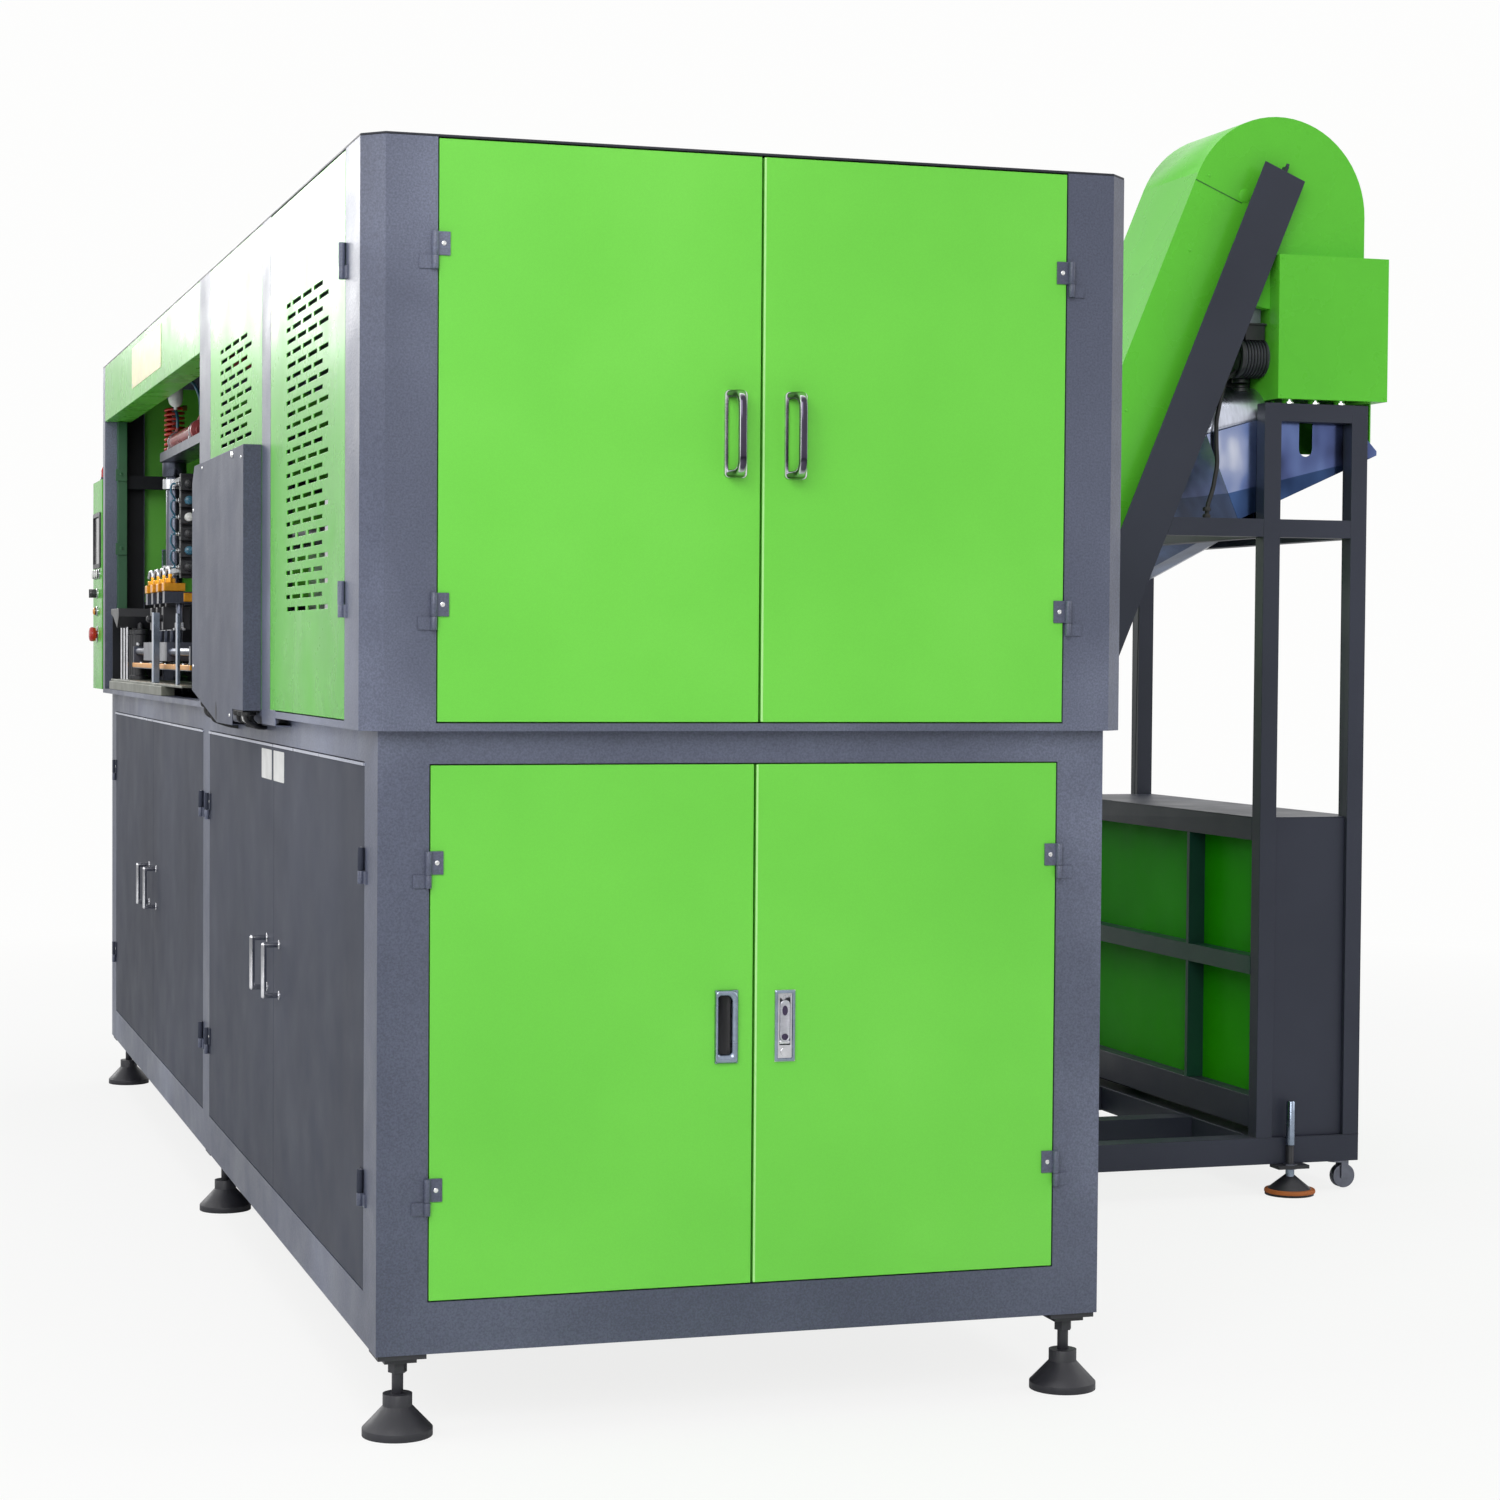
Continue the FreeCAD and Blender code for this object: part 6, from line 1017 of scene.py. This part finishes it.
def junction_fittings():
    """Screws, cable entries and cables of the junction box, and the post's foot plate."""
    build = bmesh.new()
    for y, z, radius in ((1040, 1568, 3.2), (1156, 1579, 6.5), (1600, 1579, 3.2), (1740, 1500, 3.2),
                         (1740, 1180, 3.2), (1190, 1090, 3.2)):
        screw_head(build, at(-63, y, z), "-x", radius)
    piece(build, "junction_screws", "bright_screw")
    build = bmesh.new()
    for y, low in ((1648, 1112), (1540, 1097)):
        turned(build, at(-49, y, low), "-z", [(11, -4), (11, 9), (9.4, 13), (7, 15), (0, 15)], 24)
    prism(build, [(1380, 1078), (1392, 1078), (1398, 1100), (1388, 1112), (1380, 1100)], -63.3, -62.9)
    slab(build, (-61, 1030, 1099), (-30, 1155, 1101.8))
    for y, x in ((1030, -54), (1056, -42), (1084, -54), (1110, -40), (1138, -54)):
        turned(build, at(x, y, 1099), "-z", [(10, 0), (10, 5), (7, 8)], 18)
    piece(build, "junction_glands", "rubber")
    build = bmesh.new()
    for y, x, radius in ((1034, -54, 4.4), (1058, -42, 5), (1084, -54, 4.2), (1110, -40, 4.6), (1138, -54, 4)):
        piped(build, [(x, y, 1096), (x, y, 1084), (x / 2, y + 62, 1075 - radius), (4, y + 128, 1072 - radius)],
              9, radius, 14)
    piped(build, [(-49, 1648, 1098), (-49, 1644, 1084), (-20, 1636, 1070), (4, 1636, 1066)], 9, 5, 14)
    piped(build, [(-49, 1540, 1084), (-49, 1536, 1074), (-20, 1530, 1064), (4, 1530, 1060)], 8, 5, 14)
    piece(build, "junction_cables", "rubber")
    build = bmesh.new()
    piped(build, [(-59, 1046, 1100), (-59, 1046, 1084), (-30, 1106, 1071), (4, 1174, 1068)], 9, 1.6)
    piped(build, [(-46, 1098, 1100), (-46, 1098, 1086), (-24, 1150, 1073), (4, 1222, 1070)], 9, 1.4)
    piece(build, "junction_wires", "sticker_white")
    boxes("post_foot_plate", "cabinet_grey",
          [((-29.6, 846, 1076), (-26.6, 1004, 1106)), ((-29.6, 846, 1076), (0, 1004, 1079))], edge=0.8)


# ---------------------------------------------------------------- elevator fittings

def on_both_cheeks(name, places, profile, sides):
    """A piece of turned shapes at (x, z) places on the near and far cheeks of the inclined conveyor."""
    build = bmesh.new()
    for x, z in places:
        turned(build, lean_place(x, NEAR_CHEEK, z), "-y", profile, sides)
        turned(build, lean_place(x, FAR_CHEEK, z), "y", profile, sides)
    piece(build, name, "elevator_green")


def conveyor_fittings():
    """Seams, screws and shaft caps of the inclined conveyor, and the lug on its beam."""
    build = bmesh.new()
    for face in (NEAR_CHEEK - 0.6, FAR_CHEEK):
        slab(build, (-215.6, face, -19.6), (-92, face + 0.6, -17), lean_place)
    piece(build, "head_seam", "seam_green")
    on_both_cheeks("trunk_screws", ((-167, -169), (-167, -560), (-167, -950), (-167, -1340), (-190, 4)),
                   [(4, 0), (3.6, 1), (2, 1.6), (0, 1.8)], 16)
    on_both_cheeks("shaft_caps", ((-92, 0), (-92, -SPAN)), [(15, 0), (14.6, 1.2), (12, 2), (0, 2.4)], 28)
    build = bmesh.new()
    slab(build, (-36, 1600, 60), (-30, 1622, 96), lean_place)
    turned(build, lean_place(-31, 1610, 90), (math.sin(math.radians(LEAN)), 0, math.cos(math.radians(LEAN))),
           [(4, 0), (4, 14), (0, 14)], 12)
    piece(build, "beam_top_lug", "elevator_grey")


def base_fittings():
    """Fastenings of the drive's cover, the near foot's lift, and skins on the base's braces that carry painted
    shade and a painted green reflection.
    """
    build = bmesh.new()
    for x in (2334, 2592):
        for z in (1802, 2108):
            turned(build, at(x, 1585, z), "-y", [(3, 0), (2.6, 0.8), (0, 1.2)], 14)
    for z in (1810, 2100):
        turned(build, at(2600, 1655, z), "x", [(5, 0), (4.4, 1.6), (0, 2)], 14)
    piece(build, "cover_screws", "elevator_green")
    turnings("cover_foot_nuts", "bright_screw", [(x, 1599, 1784) for x in (2361.5, 2426, 2490.5)], "z",
             [(9, 0), (9, 4), (7, 5.4), (4, 5.4), (4, 9), (0, 9)], 6)
    x, y = 2376, 1577
    turnings("pad_rubber_ring", "rust_orange", [(x, y, 6)], "z", [(56.6, 0), (57.4, 2), (57, 6), (55.4, 8)], 44)
    turnings("lift_nut", "hinge_steel", [(x, y, 58)], "z",
             [(17, 0), (17, 11), (14, 12.5), (9.6, 12.5)], 6, edge=0.5)
    build = bmesh.new()
    turned(build, at(x, y, 112), "z", [(9, 0), (10, 1), (10, 98), (8.6, 100), (0, 100.4)])
    turned(build, at(x, y, 40), "z", [(10.4, 0), (9.8, 4), (9.8, 18)])
    piece(build, "lift_spindle", "zinc")
    left, right = 2296.3, 2337.2
    # dark teal skins: painted shade and a painted green reflection on the braces
    boxes("base_brace_shade_skins", "brace_teal",
          [((left, 1630, 495.6), (right, 2720, 536.4)), ((left, 1949.3, 220), (right, 1962.7, 495.6)),
           ((left, 1949.3, 536.4), (right, 1962.7, 800))])


def drive_fittings():
    """What shows between the inclined beam and the drive's cover: motor end, bracket and conduit."""
    y, axis = 1669, 1890
    build = bmesh.new()
    for step in range(8):
        turned(build, at(2264 + 7.5 * step, y, axis), "x", [(41.8, 0), (46, 0.6), (46, 2.8), (41.8, 3.4)], 40)
    turned(build, at(2262, y, axis), "-x",
           [(41.8, -4), (46.5, -3), (46.5, 4), (42, 7), (36, 7), (34, 3), (12, 3), (0, 5)], 40)
    slab(build, (2272, 1642, 1928), (2320, 1700, 1962))
    slab(build, (2268, 1638, 1962), (2323, 1704, 1966))
    slab(build, (2268, 1728, 1800), (2342, 1734, 1944))
    for z in (1816, 1836):
        turned(build, at(2290, 1700, z), "z", [(20, 0), (20, 8), (16, 10), (16, 14)])
    piece(build, "motor_end", "moulded_black", edge=0.8)
    build = bmesh.new()
    slab(build, (2286, 1652, 1966), (2314, 1690, 2010))
    for screw_y in (1646, 1696):
        for x in (2276, 2316):
            screw_head(build, at(x, screw_y, 1966), "z", 3)
    for z in (1978, 1996):
        screw_head(build, at(2286, 1671, z), "-x", 7, socket=False)
    piece(build, "drive_bracket", "hinge_steel", edge=0.8)
    build = bmesh.new()
    piped(build, [(2262, 1660, 1862), (2226, 1648, 1838), (2202, 1622, 1792), (2191, 1620, 1740),
                  (2192, 1620, 1690), (2195, 1620, 1645), (2184, 1618, 1590), (2168, 1612, 1552),
                  (2166, 1612, 1520)], 12, 5, 14)
    for z in (1524, 1540):
        turned(build, at(2166, 1612, z), "z", [(9, 0), (9, 6), (7, 9)], 18)
    piece(build, "motor_conduit", "rubber")


def pan_guard():
    """The guard sheet below the drive: it curls back as it rises from the feed pan's rim."""
    low, top, right, near, depth = 1708, 1830, 2342, 1633, 110
    rises, columns = 10, 8
    build = bmesh.new()
    rows = []
    for step in range(rises + 1):
        turn = math.pi / 2 * step / rises
        rise = math.sin(turn)
        level = low + (top - low) * rise
        left = 2352 - (HEAD_Z - level) * math.tan(math.radians(LEAN)) + 22
        row = []
        for column in range(columns + 1):
            across = left + (right - left) * column / columns
            rim = min(1748, 1712 + (across - 2172) * 36 / 127) - 4
            spot = at(across, near + depth * (1 - math.cos(turn)), rim + (top - rim) * rise)
            row.append(build.verts.new(spot))
        rows.append(row)
    for lower, upper in zip(rows[:-1], rows[1:]):
        for column in range(columns):
            build.faces.new([lower[column], lower[column + 1], upper[column + 1], upper[column]])
    guard = piece(build, "pan_guard", "guard_steel", sharp=60)
    thick = guard.modifiers.new("thick", "SOLIDIFY")
    thick.thickness = 0.002


# ---------------------------------------------------------------- operator console

def console_fittings():
    """Bezel, buttons, lamp and cable glands of the operator console."""
    face, middle, row = -29, 4198, (4138, 4198, 4258)
    build = bmesh.new()
    outer = rounded(4100, 1441, 196, 156, 8)
    inner = rounded(4112, 1453, 172, 132, 4)
    steps = ((outer, face), (outer, face - 4), (inner, face - 5), (inner, face + 1))
    skin(build, [[build.verts.new(at(x, y, z)) for y, z in outline] for outline, x in steps], "joined")
    piece(build, "screen_bezel", "moulded_black")
    build = bmesh.new()
    for y, z in (*((y, 1424) for y in row), (middle, 1370), (middle, 1320)):
        turned(build, at(face, y, z), "-x", [(14, 0), (14, 3), (12.4, 4.4), (11.3, 4.6)])
    turned(build, at(face, middle, 1255), "-x", [(24, 0), (24, 1.4), (21, 2.4), (12, 2.6)], 36)
    piece(build, "button_collars", "steel")
    turnings("white_buttons", "sticker_white", [(face - 8, y, 1424) for y in row], "-x",
             [(10.6, 0), (10, 2), (7, 3), (0, 3.4)], 24)
    turnings("amber_button", "amber", [(face - 8, middle, 1320)], "-x",
             [(10.6, 0), (10, 3), (6, 5), (0, 5.4)], 24)
    build = bmesh.new()
    turned(build, at(face - 5, middle, 1370), "-x", [(12.6, 0), (12, 12), (11, 13), (0, 13)], 24)
    slab(build, (face - 24, middle - 3, 1358), (face - 16, middle + 3, 1382))
    piece(build, "selector_knob", "moulded_black", edge=0.8)
    turnings("stop_mushroom", "stop_red", [(face - 18, middle, 1255)], "-x",
             [(19.2, -9.2), (20.4, -6), (20.4, 0), (18, 4), (10, 6), (0, 6.6)], 36, "emergency_button")
    turnings("lamp_socket", "moulded_black", [(-5, middle, 1687)], "z", [(17, 0), (17, 6), (15, 7), (15, 12)])
    turnings("lamp_dome", "stop_red", [(-5, middle, 1699)], "z",
             [(14, 0), (14, 22), (12, 28), (6, 32), (0, 33)])
    build = bmesh.new()
    for y in (4130, 4266):
        gland(build, at(70, y, 1101), "-z", 11)
    piece(build, "console_glands", "moulded_black")


MATERIALS = make_materials()
for step in (aim_camera, studio, lay_floor, dress_nodes, spiral_hose, air_cylinder, station_columns,
             transfer_plate, grippers, station_base, valve_bank, station_sheets, air_supply, hinge_screws,
             door_trim, door_pulls, cup_fittings, latch_fittings, handle_rings, blank_plates,
             junction_fittings, conveyor_fittings, base_fittings, drive_fittings, pan_guard,
             console_fittings):
    step()
